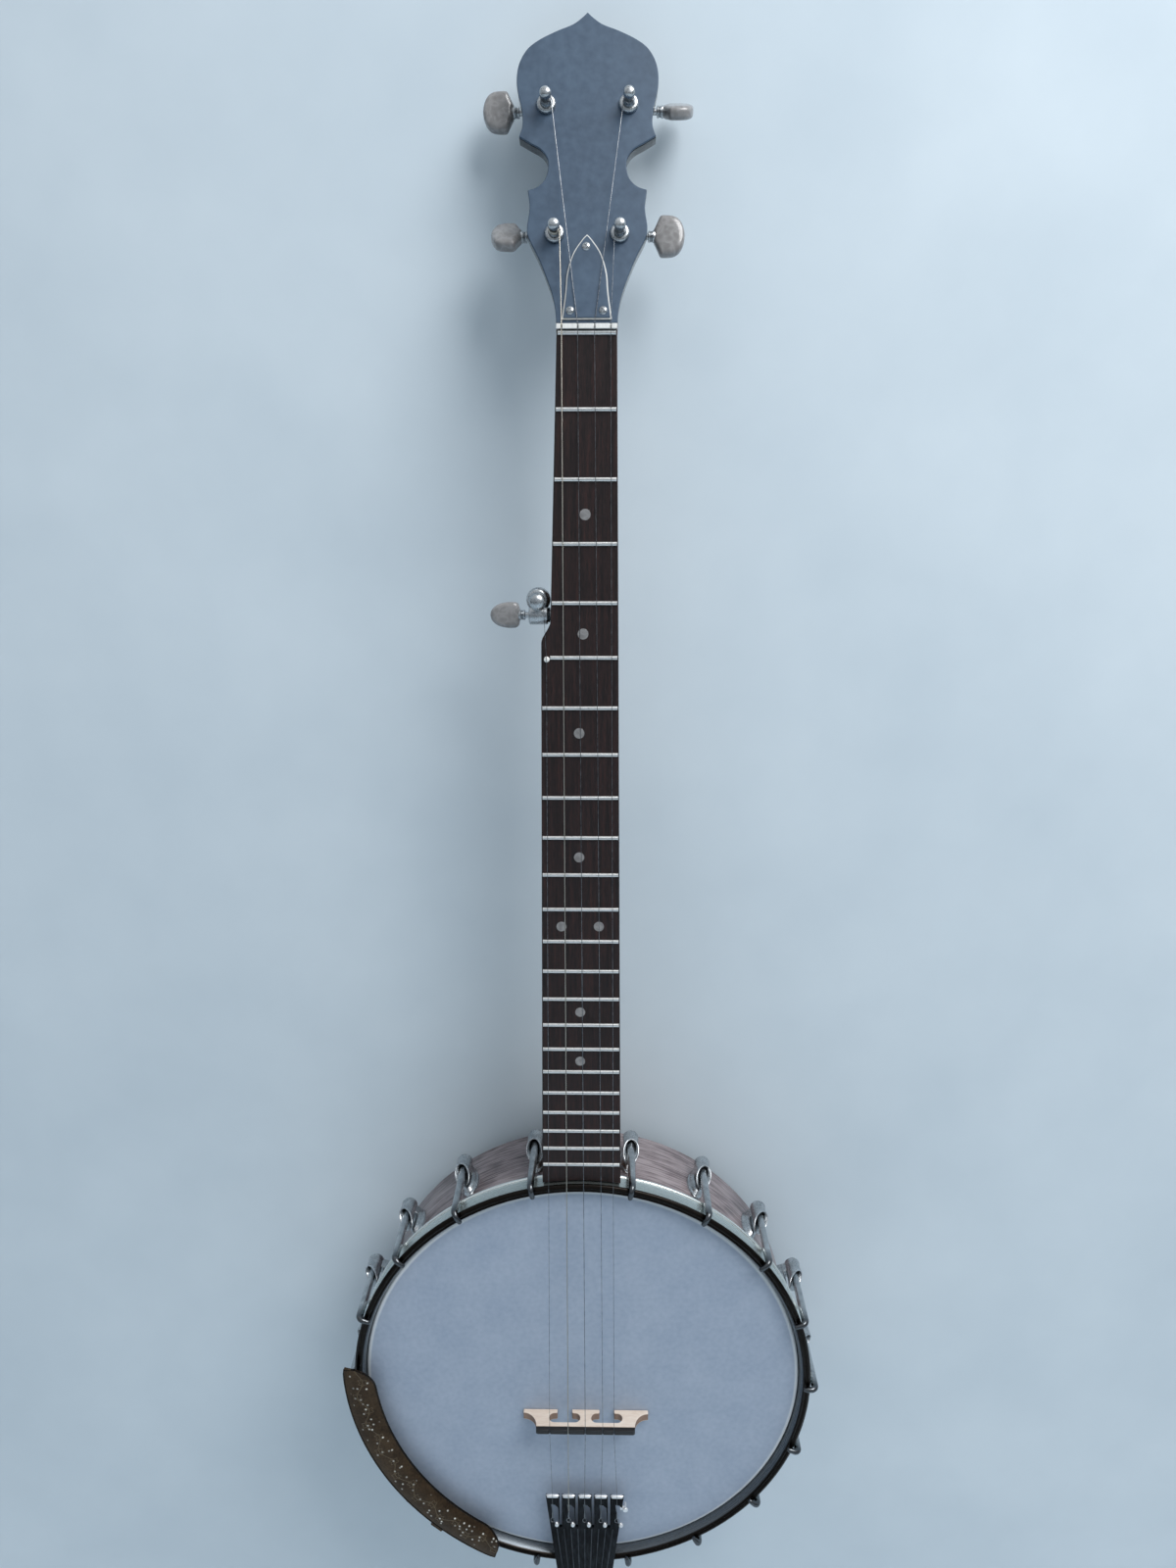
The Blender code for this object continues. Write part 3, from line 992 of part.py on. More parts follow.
def make_tailpiece(pot_frame):
    """Fan-shaped plate over the hoop, with five slotted fingers and a leg bent down to the rim."""
    end = HOOP_OUTER + 4.5
    plate_outline = [(TAIL_CENTRE_X - tail_half(TAIL_FRONT), -TAIL_FRONT), (TAIL_CENTRE_X + tail_half(TAIL_FRONT), -TAIL_FRONT),
                     (TAIL_CENTRE_X + tail_half(end), -end), (TAIL_CENTRE_X - tail_half(end), -end)]
    plate = prism(plate_outline, -TAIL_TOP, -TAIL_TOP + TAIL_THICKNESS)
    tail = piece("tailpiece", plate, CHROME, pot_frame)
    bend = HOOP_BACK + 2
    foot_front = bend + 12
    foot_back = ROD_BEHIND + 12
    outer = end
    seat = RIM_RADIUS + SEAT_GAP
    section = [(-outer, -TAIL_TOP + 0.4), (-outer, bend), (-seat - LEG_THICKNESS, foot_front),
               (-seat - LEG_THICKNESS, foot_back), (-seat, foot_back), (-seat, foot_front - 0.6),
               (-outer + LEG_THICKNESS, bend - 0.6), (-outer + LEG_THICKNESS, -TAIL_TOP + 0.4)]
    join(tail, "tailpiece_leg", slab(section, LEG_HALF), pot_frame)
    rim_clearance = cylinder(seat, bend, foot_back + 2, POT_SIDES)
    cut(tail, "rim_curve", rim_clearance, pot_frame)
    slots = [box((TAIL_CENTRE_X + (k - 1.5) * TAIL_STRING_SPACING - TAIL_SLOT / 2, -TAIL_TOP - 2, -TAIL_FRONT - TAIL_SLOT_LENGTH),
                 (TAIL_CENTRE_X + (k - 1.5) * TAIL_STRING_SPACING + TAIL_SLOT / 2, 0, -TAIL_FRONT + 2)) for k in range(4)]
    cut(tail, "finger_slots", merged(*slots), pot_frame)
    windows = []
    for number in range(5):
        x = tail_string_x(number)
        low = -TAIL_FRONT - TAIL_WINDOW_FRONT - TAIL_WINDOW_LENGTH
        high = -TAIL_FRONT - TAIL_WINDOW_FRONT
        windows.append(prism([(x - TAIL_WINDOW_HALF, high), (x + TAIL_WINDOW_HALF, high), (x, low)],
                             -TAIL_TOP - 2, 0))
    cut(tail, "string_windows", merged(*windows), pot_frame)
    hole = cylinder(STUD_RADIUS + SEAT_GAP, -RIM_RADIUS - 9, -RIM_RADIUS + 2, 16, "Z")
    cut(tail, "leg_hole", hole, pot_frame, (0, ROD_BEHIND, 0))


def make_rod(pot_frame):
    """Coordinator rod across the pot, with a stud into the heel and one through the tailpiece's leg."""
    half = sqrt((RIM_RADIUS - RIM_WALL) ** 2 - ROD_RADIUS ** 2) - SEAT_GAP
    leg_outer = RIM_RADIUS + SEAT_GAP + LEG_THICKNESS
    nut_seat = leg_outer + SEAT_GAP
    stud_end = nut_seat + ROD_NUT_LENGTH - 3
    profile = [(0, RIM_RADIUS + STUD_IN_HEEL), (STUD_RADIUS, RIM_RADIUS + STUD_IN_HEEL), (STUD_RADIUS, half),
               (ROD_RADIUS, half), (ROD_RADIUS, -half), (STUD_RADIUS, -half), (STUD_RADIUS, -stud_end),
               (0, -stud_end)]
    place = (0, ROD_BEHIND, 0)
    piece("coordinator_rod", turned(profile, 16, "Z"), STEEL, pot_frame, place)
    bore = STUD_RADIUS + SEAT_GAP
    nut = [(0, -stud_end - SEAT_GAP), (bore, -stud_end - SEAT_GAP), (bore, -nut_seat), (ROD_NUT_RADIUS, -nut_seat),
           (ROD_NUT_RADIUS, -nut_seat - ROD_NUT_LENGTH * 0.6), (ROD_NUT_RADIUS * 0.5, -nut_seat - ROD_NUT_LENGTH),
           (0, -nut_seat - ROD_NUT_LENGTH)]
    piece("coordinator_rod_nut", turned(nut, 12, "Z"), NICKEL, pot_frame, place)


def armrest_edges(angle):
    """Inner and outer radius of the plate, which is bent to a larger circle than the pot's."""
    shift = ARMREST_SHIFT * (1 - cos(radians(angle - ARMREST_MIDDLE)))
    inner = ARMREST_INNER + shift
    outer = ARMREST_OUTER + shift
    near_end = min(angle - ARMREST_START, ARMREST_END - angle)
    inner_left = 1 - min(near_end / ARMREST_INNER_CORNER, 1.0)
    outer_left = 1 - min(near_end / ARMREST_OUTER_CORNER, 1.0)
    inner += 0.6 * (outer - inner) * (1 - sqrt(1 - inner_left ** 2))
    outer -= 0.1 * (outer - inner) * (1 - sqrt(1 - outer_left ** 2))
    return inner, outer


def armrest_height(share):
    """Height of the plate's top over its width: steep at the inner edge and flat towards the outer one."""
    edge = ARMREST_TOP - ARMREST_EDGE_DROP * max(0.0, 1 - share / 0.4) ** 2
    return edge - 0.9 * max(0.0, (share - 0.6) / 0.4) ** 2


def make_armrest(pot_frame):
    """Curved plate above the hoop on the left, with two clamps that reach round the hoop."""
    steps = 14
    corner = [ARMREST_INNER_CORNER * (1 - cos(pi / 2 * k / 4)) for k in range(4)]
    angles = [ARMREST_START + c for c in corner]
    straight = ARMREST_END - ARMREST_START - 2 * ARMREST_INNER_CORNER
    angles += [ARMREST_START + ARMREST_INNER_CORNER + straight * k / steps for k in range(steps + 1)]
    angles += [ARMREST_END - c for c in reversed(corner)]
    rows = []
    for angle in angles:
        inner, outer = armrest_edges(angle)
        full_inner = ARMREST_INNER + ARMREST_SHIFT * (1 - cos(radians(angle - ARMREST_MIDDLE)))
        width = ARMREST_OUTER - ARMREST_INNER
        thickness = 0 if angle in (angles[0], angles[-1]) else ARMREST_THICKNESS
        top = []
        for share in (0, 0.12, 0.35, 0.62, 0.86, 1.0):
            radius = inner + (outer - inner) * share
            top.append((radius, -armrest_height((radius - full_inner) / width)))
        under = [(radius, y + thickness) for radius, y in reversed(top)]
        row = [around(-angle, radius, y) for radius, y in top + under]
        rows.append(row + row[:1])
    armrest = piece("armrest", grid(rows), BRONZE, pot_frame)
    clamp_outer = HOOP_OUTER + SEAT_GAP + CLAMP_THICKNESS
    lip = HOOP_BACK + SEAT_GAP
    tab = -ARMREST_TOP + 0.8
    section = [(ARMREST_OUTER - 7, tab), (clamp_outer, tab), (clamp_outer, lip + CLAMP_THICKNESS),
               (clamp_outer - CLAMP_HOOK, lip + CLAMP_THICKNESS), (clamp_outer - CLAMP_HOOK, lip),
               (clamp_outer - CLAMP_THICKNESS, lip), (clamp_outer - CLAMP_THICKNESS, tab + CLAMP_THICKNESS),
               (ARMREST_OUTER - 7, tab + CLAMP_THICKNESS)]
    clamps = [moved(slab(section, CLAMP_HALF), Matrix.Rotation(radians(-angle), 4, "Y")) for angle in CLAMP_ANGLES]
    join(armrest, "armrest_clamps", merged(*clamps), pot_frame)


# Strings

def to_world(frame_point, tilt, origin):
    return origin + tilt @ Vector(frame_point)


def neck_to_world(point):
    return to_world(point, NECK_TILT, NECK_ORIGIN)


def face_to_world(point):
    return neck_to_world(FACE_IN_NECK + FACE_TILT @ Vector(point))


def string_start(number):
    """Where the string leaves its post: the fifth from its own tuner, the rest from the headstock."""
    radius = STRING_RADII[number]
    if number == 0:
        z = -FIFTH_WORM_BELOW + WORM_OFFSET_FIFTH
        x = FIFTH_POST_X + FIFTH_DRUM_RADIUS + SEAT_GAP + radius
        return neck_to_world((x, -PIP_PROUD - radius - 0.4, z))
    x, z = MAIN_TUNERS[STRING_TUNERS[number]]
    inward = 1 if x < NECK_AXIS_AT_NUT else -1
    return face_to_world((x + inward * (POST_RADIUS + SEAT_GAP + radius), -STRING_LIFT_ON_POST, z))


def make_strings():
    for number, name in enumerate(STRING_NAMES):
        radius = STRING_RADII[number]
        path = [string_start(number)]
        if number == 0:
            path.append(neck_to_world((PIP_X, -PIP_PROUD - radius - 0.05, -fret_below_nut(5) - PIP_BELOW_FRET)))
        else:
            x = STRING_AT_NUT[number]
            y = -FRET_HEIGHT - radius
            path.append(neck_to_world((x, y - 0.05, NUT_BLOCK_LOW + NUT_BLOCK_HEIGHT / 2)))
            path.append(neck_to_world((x, y - STRING_GAP, 0)))
        top = BRIDGE_HEIGHT - NOTCH_DEPTH + SEAT_GAP
        path.append(HEAD_CENTRE + Vector((STRING_AT_BRIDGE[number], -top - radius, -BRIDGE_BELOW_CENTRE)))
        x = tail_string_x(number)
        path.append(HEAD_CENTRE + Vector((x, -TAIL_TOP - radius - 0.05, -TAIL_FRONT - 0.5)))
        window = -TAIL_FRONT - TAIL_WINDOW_FRONT
        path.append(HEAD_CENTRE + Vector((x, -TAIL_TOP - radius - 0.05, window - 3)))
        piece(name, swept(path, [radius] * len(path), 6), STRING_STEEL)


# Build

for old in list(bpy.data.objects):
    bpy.data.objects.remove(old, do_unlink=True)

MAPLE = material("neck_maple", "6B4A33", 0.45)
STAINED_MAPLE = material("rim_stained_maple", "7A6660", 0.5)
ROSEWOOD = material("rosewood", "2A1D1C", 0.5)
BLACK_LACQUER = material("black_lacquer", "1B1E24", 0.35)
BONE = material("bone", "EDE9DC", 0.4)
BRASS = material("brass", "B08D4A", 0.35, 1.0)
STEEL = material("steel", "9A9CA0", 0.35, 1.0)
NICKEL = material("nickel_plate", "C9CBCE", 0.2, 1.0)
CHROME = material("chrome_plate", "D5D8DC", 0.1, 1.0)
PEARLOID = material("pearloid", "D9DAD6", 0.25)
HEAD_FILM = material("head_film", "D7DCE3", 0.45)
BRIDGE_MAPLE = material("bridge_maple", "E3CFAF", 0.5)
EBONY = material("ebony", "1A1817", 0.4)
BRONZE = material("armrest_bronze", "5A4632", 0.35, 0.9)
STRING_STEEL = material("string_steel", "B9BBBE", 0.3, 1.0)

MAIN_TUNERS = [(NECK_AXIS_AT_NUT - UPPER_TUNER_SPREAD, UPPER_TUNER_HEIGHT),
               (NECK_AXIS_AT_NUT + UPPER_TUNER_SPREAD, UPPER_TUNER_HEIGHT),
               (NECK_AXIS_AT_NUT - LOWER_TUNER_SPREAD, LOWER_TUNER_HEIGHT),
               (NECK_AXIS_AT_NUT + LOWER_TUNER_SPREAD, LOWER_TUNER_HEIGHT)]
TUNER_LABELS = ("third_tuner", "second_tuner", "fourth_tuner", "first_tuner")
STRING_TUNERS = {1: 2, 2: 0, 3: 1, 4: 3}

neck_frame = empty("neck_frame", NECK_ORIGIN, (-PITCH, 0, 0))
face_frame = empty("headstock_frame", FACE_IN_NECK, (-FACE_PITCH, 0, 0), neck_frame)
pot_frame = empty("pot_frame", HEAD_CENTRE)

make_neck(neck_frame, face_frame, pot_frame)
make_fingerboard(neck_frame)
make_pip(neck_frame)
make_nut(neck_frame)
make_overlay(face_frame)
make_truss_rod(neck_frame)
make_cover(face_frame)
for tuner_label, (tuner_x, tuner_z), button_tilt in zip(TUNER_LABELS, MAIN_TUNERS, BUTTON_TILTS):
    tuner_side = 1 if tuner_x > NECK_AXIS_AT_NUT else -1
    make_main_tuner(tuner_label, face_frame, tuner_x, tuner_z, button_tilt, tuner_side)
make_fifth_tuner(neck_frame)
make_rim(pot_frame)
make_head(pot_frame)
make_hoop(pot_frame)
make_hooks(pot_frame)
make_bridge(pot_frame)
make_tailpiece(pot_frame)
make_rod(pot_frame)
make_armrest(pot_frame)
make_strings()
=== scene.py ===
"""Looks of the five-string banjo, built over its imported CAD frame.

Pieces are made in millimetres in one of three frames: the pot's (x right, y behind the head, z up), the
neck's (y = 0 is the fingerboard's surface, z = 0 the zero fret) and the headstock's (y = 0 is its face).
"""
import bmesh
import bpy
import numpy as np
from math import cos, pi, radians, sin, tau
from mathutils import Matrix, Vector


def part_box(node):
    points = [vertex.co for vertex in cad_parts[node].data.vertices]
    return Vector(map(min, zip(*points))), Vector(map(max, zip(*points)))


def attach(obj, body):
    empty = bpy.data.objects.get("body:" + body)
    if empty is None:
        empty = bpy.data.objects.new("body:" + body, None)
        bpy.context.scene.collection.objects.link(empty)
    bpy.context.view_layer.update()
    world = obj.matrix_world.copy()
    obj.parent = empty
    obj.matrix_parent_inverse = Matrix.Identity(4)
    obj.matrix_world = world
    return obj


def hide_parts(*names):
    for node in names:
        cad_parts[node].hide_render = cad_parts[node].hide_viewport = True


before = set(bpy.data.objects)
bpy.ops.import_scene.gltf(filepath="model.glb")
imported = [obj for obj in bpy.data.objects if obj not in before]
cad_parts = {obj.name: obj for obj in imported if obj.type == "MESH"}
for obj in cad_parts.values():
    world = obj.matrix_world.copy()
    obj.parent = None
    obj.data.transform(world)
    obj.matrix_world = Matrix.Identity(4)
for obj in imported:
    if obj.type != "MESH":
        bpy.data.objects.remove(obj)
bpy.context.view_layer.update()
MM = 0.001

# Rim: a ring bent from layers of maple and stained grey-brown, with its back edge open.

head_low, head_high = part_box("head")
POT = np.eye(4)
POT[:3, 3] = ((head_low.x + head_high.x) / 2 / MM, head_low.y / MM, (head_low.z + head_high.z) / 2 / MM)
RIM_RADIUS = 139.7
RIM_INNER = 125.7
RIM_BACK = 70.0


def colour(hex_code):
    """Linear RGBA of an sRGB hex colour."""
    channels = np.array([int(hex_code[i:i + 2], 16) for i in (0, 2, 4)]) / 255
    linear = np.where(channels > 0.04045, ((channels + 0.055) / 1.055) ** 2.4, channels / 12.92)
    return (*linear.tolist(), 1.0)


def add(tree, kind, inputs, stops=(), **settings):
    """Shader node with its settings, its inputs as values or other nodes' sockets, and a ramp's colour stops."""
    made = tree.nodes.new("ShaderNode" + kind)
    for name, value in settings.items():
        setattr(made, name, value)
    for name, value in inputs.items():
        if isinstance(value, bpy.types.NodeSocket):
            tree.links.new(value, made.inputs[name])
        else:
            made.inputs[name].default_value = value
    for number, (place, value) in enumerate(stops):
        stop = made.color_ramp.elements[number] if number < 2 else made.color_ramp.elements.new(place)
        stop.position = place
        stop.color = colour(value)
    return made


def tap(tree, kind, inputs, stops=(), **settings):
    """First output of a new shader node."""
    return add(tree, kind, inputs, stops, **settings).outputs[0]


def maths(tree, operation, *values):
    return tap(tree, "Math", dict(enumerate(values)), operation=operation)


def remap(tree, value, low=0.0, high=1.0, to_low=0.0, to_high=1.0):
    """Value spread from the range of low to high over the range of to_low to to_high, and held within it."""
    return tap(tree, "MapRange", {"Value": value, "From Min": low, "From Max": high, "To Min": to_low,
                                  "To Max": to_high})


def raised(tree, height, strength, depth):
    """Normal of a surface whose relief follows a height, with its depth in millimetres."""
    return tap(tree, "Bump", {"Height": height, "Strength": strength, "Distance": depth * MM})


def dress(tree, **sockets):
    """Gives inputs of the material's shader a value or another node's socket."""
    for name, value in sockets.items():
        socket = tree.nodes["Principled BSDF"].inputs[name.replace("_", " ")]
        if isinstance(value, bpy.types.NodeSocket):
            tree.links.new(value, socket)
        else:
            socket.default_value = value


def blank(name, slot):
    """New material for a slot of the record, its node tree and the object's own coordinates."""
    made = bpy.data.materials.new(name)
    made.use_nodes = True
    made["slot"] = slot
    tree = made.node_tree
    return made, tree, add(tree, "TexCoord", {}).outputs["Object"]


def finish(name, slot, shades, grain, stretch=(1, 1, 1), roughness=(0.3, 0.4), relief=0.0, **settings):
    """Material whose colour, roughness and relief follow a noise of the given grain in mm, longer along each
    axis by its stretch, over a fine speckle eight times smaller."""
    made, tree, place = blank(name, slot)
    spot = tap(tree, "Mapping", {"Vector": place, "Scale": [1 / (grain * MM * s) for s in stretch]})
    cloud = tap(tree, "TexNoise", {"Vector": spot, "Scale": 1.0, "Detail": 5.0})
    speckle = tap(tree, "TexNoise", {"Vector": spot, "Scale": 8.0, "Detail": 3.0})
    both = maths(tree, "ADD", cloud, speckle)
    mixed = remap(tree, both, 0.65, 1.35)
    places = np.linspace(0, 1, len(shades)).tolist()
    tone = tap(tree, "ValToRGB", {"Fac": mixed}, list(zip(places, shades)))
    rough = remap(tree, speckle, 0.3, 0.7, roughness[0], roughness[1])
    dress(tree, Base_Color=tone, Roughness=rough, **settings)
    if relief:
        dress(tree, Normal=raised(tree, both, 0.6, relief))
    return made


def skin(points, caps=False):
    """Closed skin over rows of points (row, column, xyz): columns join up round; caps close the end rows."""
    rows, columns = points.shape[:2]
    index = np.arange(rows * columns).reshape(rows, columns)
    index = np.hstack([index, index[:, :1]])
    quads = np.stack([index[:-1, :-1], index[:-1, 1:], index[1:, 1:], index[1:, :-1]], -1).reshape(-1, 4)
    ends = [index[0, -2::-1], index[-1, :-1]] if caps else []
    return points.reshape(-1, 3), quads, ends


def turned(profile, sides=48, axis="Y"):
    """Skin of revolution: each (radius, distance) pair of the profile goes round the axis."""
    radius, along = np.array(profile, float).T[:, :, None]
    turn = np.linspace(0, tau, sides, endpoint=False)
    ring = [radius * np.sin(turn), np.broadcast_to(along, (len(radius), sides)), radius * np.cos(turn)]
    order = {"X": (1, 0, 2), "Y": (0, 1, 2), "Z": (0, 2, 1)}[axis]
    return skin(np.stack([ring[i] for i in order], -1))


def moved(part, matrix):
    """Skin moved by a 4 by 4 matrix."""
    points, quads, ends = part
    return points @ matrix[:3, :3].T + matrix[:3, 3], quads, ends


def placed(parts, matrix):
    return [moved(part, matrix) for part in parts]


def shift(x, y, z):
    matrix = np.eye(4)
    matrix[:3, 3] = x, y, z
    return matrix


def spin(degrees, axis="Y"):
    """Right-handed turn about an axis."""
    c, s = cos(radians(degrees)), sin(radians(degrees))
    turn = {"X": [[1, 0, 0], [0, c, -s], [0, s, c]], "Y": [[c, 0, s], [0, 1, 0], [-s, 0, c]],
            "Z": [[c, -s, 0], [s, c, 0], [0, 0, 1]]}[axis]
    matrix = np.eye(4)
    matrix[:3, :3] = turn
    return matrix


def shade(mesh, crease):
    """Outward normals, smooth faces and sharp edges above the crease angle."""
    work = bmesh.new()
    work.from_mesh(mesh)
    bmesh.ops.remove_doubles(work, verts=work.verts, dist=1e-6)
    bmesh.ops.recalc_face_normals(work, faces=work.faces)
    work.to_mesh(mesh)
    work.free()
    mesh.shade_smooth()
    mesh.set_sharp_from_angle(angle=radians(crease))


def piece(name, skins, matrix, material, body="instrument", stands_for=(), crease=35, soft=0.0):
    """Object from skins in a frame's millimetres, riding on a body; soft is the width of its rounded edges."""
    starts = np.cumsum([0] + [len(points) for points, quads, ends in skins])
    faces = []
    for start, (points, quads, ends) in zip(starts.tolist(), skins):
        faces += (quads + start).tolist() + [(end + start).tolist() for end in ends]
    points = moved((np.concatenate([part[0] for part in skins]), None, None), matrix)[0] * MM
    mesh = bpy.data.meshes.new(name)
    mesh.from_pydata(points.tolist(), [], faces)
    shade(mesh, crease)
    mesh.materials.append(material)
    made = bpy.data.objects.new(name, mesh)
    bpy.context.scene.collection.objects.link(made)
    if soft:
        soften(made, soft)
    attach(made, body)
    if stands_for:
        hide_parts(*stands_for)
    return made


def soften(target, width, segments=2):
    """Rounds the sharp edges by a width in millimetres."""
    bevel = target.modifiers.new("edges", "BEVEL")
    bevel.width = width * MM
    bevel.segments = segments
    bevel.limit_method = "ANGLE"
    bevel.angle_limit = radians(30)


def around_pot(tree, place):
    """Angle clockwise from the neck, depth behind the head and radius, all from the place in metres."""
    centred = tap(tree, "Mapping", {"Vector": place, "Location": (-POT[:3, 3] * MM).tolist()})
    parts = add(tree, "SeparateXYZ", {"Vector": centred}).outputs
    away = tap(tree, "VectorMath", {0: centred, 1: (1, 0, 1)}, operation="MULTIPLY")
    radius = add(tree, "VectorMath", {0: away}, operation="LENGTH").outputs["Value"]
    return maths(tree, "ARCTAN2", parts["X"], parts["Z"]), parts["Y"], radius


# The stain is uneven over the grain, which runs round the ring: its noise reads arc length, depth and radius.
RIM_WOOD, tree, place = blank("stained maple, satin varnish", "rim_stained_maple")
turn, depth, radius = around_pot(tree, place)
arc = maths(tree, "MULTIPLY", turn, RIM_RADIUS * MM)
unrolled = tap(tree, "CombineXYZ", {"X": arc, "Y": depth, "Z": radius})
long_grain = tap(tree, "Mapping", {"Vector": unrolled, "Scale": (60, 900, 900)})
fibres = tap(tree, "TexNoise", {"Vector": long_grain, "Scale": 1.0, "Detail": 6.0})
blotches = tap(tree, "TexNoise", {"Vector": unrolled, "Scale": 45.0, "Detail": 4.0})
both = remap(tree, blotches, to_low=maths(tree, "ADD", fibres, -0.3), to_high=maths(tree, "ADD", fibres, 0.3))
tone = tap(tree, "ValToRGB", {"Fac": both}, [(0.32, "463D3F"), (0.45, "73676A"), (0.55, "877C7E"), (0.68, "9B9092")])
layer = maths(tree, "FRACT", maths(tree, "MULTIPLY", radius, 1 / (2.3 * MM)))
line = tap(tree, "ValToRGB", {"Fac": layer}, [(0.0, "8C8583"), (0.08, "FFFFFF")])
wood = tap(tree, "MixRGB", {0: 1.0, 1: tone, 2: line}, blend_type="MULTIPLY")
dress(tree, Base_Color=wood, Normal=raised(tree, fibres, 0.25, 0.1), Roughness=0.42, Coat_Weight=0.25,
      Coat_Roughness=0.25)

rim_profile = [(RIM_INNER, 3.0), (134.7, 0.8), (138.0, 1.0), (139.2, 1.7), (RIM_RADIUS, 3.0),
               (RIM_RADIUS, RIM_BACK - 1.6), (139.2, RIM_BACK - 0.4), (138.1, RIM_BACK), (127.3, RIM_BACK),
               (126.2, RIM_BACK - 0.4), (RIM_INNER, RIM_BACK - 1.6), (RIM_INNER, 3.0)]
piece("rim_shell", [turned(rim_profile, 240)], POT, RIM_WOOD, stands_for=["rim"])

# Head: frosted polyester film stretched over the rim's front edge and crimped in an aluminium flesh hoop.


def tint(tree, share, shade):
    """Mixes a shade into the colour that the shader has, by a share from 0 to 1."""
    plain = tree.nodes["Principled BSDF"].inputs["Base Color"].links[0].from_socket
    dress(tree, Base_Color=tap(tree, "MixRGB", {0: share, 1: plain, 2: colour(shade)}))


HEAD_FILM = finish("frosted head film", "head_film", ("98A6BA", "A1AEC0", "A9B5C6"), 26, roughness=(0.42, 0.52),
                   relief=0.03, Specular_IOR_Level=0.4, Coat_Weight=0.12, Coat_Roughness=0.3)
ALUMINIUM = finish("drawn aluminium", "steel", ("8E9194", "A9ACAF"), 4, (1, 1, 6), (0.35, 0.5), Metallic=1.0)
film = [(0, 0), (60, 0), (120, 0), (138.6, 0), (139.9, 0.2), (140.7, 0.7), (141.1, 1.4), (141.2, 2.2), (141.2, 5.5),
        (140.2, 5.5), (140.2, 2.4), (140.0, 1.6), (139.5, 0.9), (138.6, 0.5), (120, 0.5), (60, 0.5), (0, 0.5)]
# The film is painted whiter where it bends over the rim: a painted highlight along its rounded shoulder.
tree = HEAD_FILM.node_tree
radius = around_pot(tree, add(tree, "TexCoord", {}).outputs["Object"])[2]
tint(tree, remap(tree, radius, 138.2 * MM, 139.6 * MM), "E4EAEE")
piece("head_skin", [turned(film, 240)], POT, HEAD_FILM, stands_for=["head"], crease=60)
flesh = [(140.3, 5.7), (143.2, 5.7), (143.4, 6.0), (143.4, 8.7), (143.2, 9.0), (140.5, 9.0), (140.3, 8.7),
         (140.3, 5.7)]
piece("flesh_hoop", [turned(flesh, 240)], POT, ALUMINIUM)

# Tension hoop: a rolled brass ring, plated and now dull, with a bead at both edges of its outer wall. Its
# narrow front face is painted dark, a painted reflection; the hooks pull it down over the head's flesh hoop.

HOOP, tree, place = blank("plated hoop with painted reflection and shade", "chrome_plate")
turn, depth, radius = around_pot(tree, place)
# Painted reflection: a ramp over depth paints the front face near black for the dark room it reflects, the sides pale
# and the back bead palest as a painted highlight.
behind = remap(tree, depth, -5.6 * MM, 9.6 * MM)
cloud = tap(tree, "TexNoise", {"Vector": place, "Scale": 220.0, "Detail": 6.0})
streak = tap(tree, "Mapping", {"Vector": place, "Scale": (90, 1800, 90)})
brushed = tap(tree, "TexNoise", {"Vector": streak, "Scale": 1.0, "Detail": 3.0})
ragged_reflection_edge = remap(tree, cloud, to_low=-0.04, to_high=0.04)
band = maths(tree, "ADD", behind, ragged_reflection_edge)
outside = tap(tree, "ValToRGB", {"Fac": band}, [(0.0, "1A1613"), (0.19, "26221F"), (0.23, "B9C2C0"),
                                                (0.75, "C6CECC"), (0.85, "E2E7E5")])
# Painted shade: the inner lip next to the head is painted a duller, less metallic grey.
lip = remap(tree, radius, 143.0 * MM, 143.4 * MM)
tone = tap(tree, "MixRGB", {0: lip, 1: colour("5B6268"), 2: outside})
rough = remap(tree, brushed, to_low=0.16, to_high=0.38)
shine = remap(tree, lip, to_low=0.6, to_high=0.9)
dress(tree, Base_Color=tone, Roughness=rough, Metallic=shine, Normal=raised(tree, brushed, 0.15, 0.05))
bead = np.linspace(0, pi, 7)
front_bead = np.stack([147.4 + 0.9 * np.sin(bead), -3.6 - 1.2 * np.cos(bead)], 1).tolist()
back_bead = np.stack([147.4 + 0.9 * np.sin(bead), 8.2 - 1.2 * np.cos(bead)], 1).tolist()
hoop_profile = [(141.5, 0), (142.1, -1.8), (143.2, -4.2), (143.7, -5.0), (144.1, -5.35), (144.6, -5.1),
                (145.0, -4.9), (145.6, -5.2), (146.3, -5.5), (147.0, -5.3)] + front_bead
hoop_profile += [(147.3, -1.6), (147.3, 6.2)] + back_bead
hoop_profile += [(147.1, 9.5), (143.8, 9.5), (143.8, 5.4), (141.5, 5.4), (141.5, 0)]
piece("hoop_ring", [turned(hoop_profile, 288)], POT, HOOP, stands_for=["tension_hoop"], crease=50)

# Shoes: eighteen plated castings bolted to the rim. Each is an oval foot with a sleeve that takes a hook, its
# flared mouth cut on the slant.

HOOK_RADIUS = 151.0     # circle of the hooks
HOOKS_A_SIDE = 9
HOOK_ANGLES = [side * angle for side in (1, -1) for angle in np.linspace(12.0, 168.0, HOOKS_A_SIDE).tolist()]
NICKEL = finish("dull nickel plate", "nickel_plate", ("93979A", "B6BABD", "D0D3D5"), 5, roughness=(0.22, 0.36),
                relief=0.02, Metallic=1.0)


def prism(outline, low, high, axes="XZY"):
    """Skin of an outline in the first two axes, pushed from low to high along the third."""
    outline = np.array(outline, float)
    points = np.empty((2, len(outline), 3))
    points[:, :, "XYZ".index(axes[0])] = outline[:, 0]
    points[:, :, "XYZ".index(axes[1])] = outline[:, 1]
    points[:, :, "XYZ".index(axes[2])] = [[low], [high]]
    return skin(points, True)


def block(low, high):
    return prism([(low[0], low[2]), (high[0], low[2]), (high[0], high[2]), (low[0], high[2])], low[1], high[1])


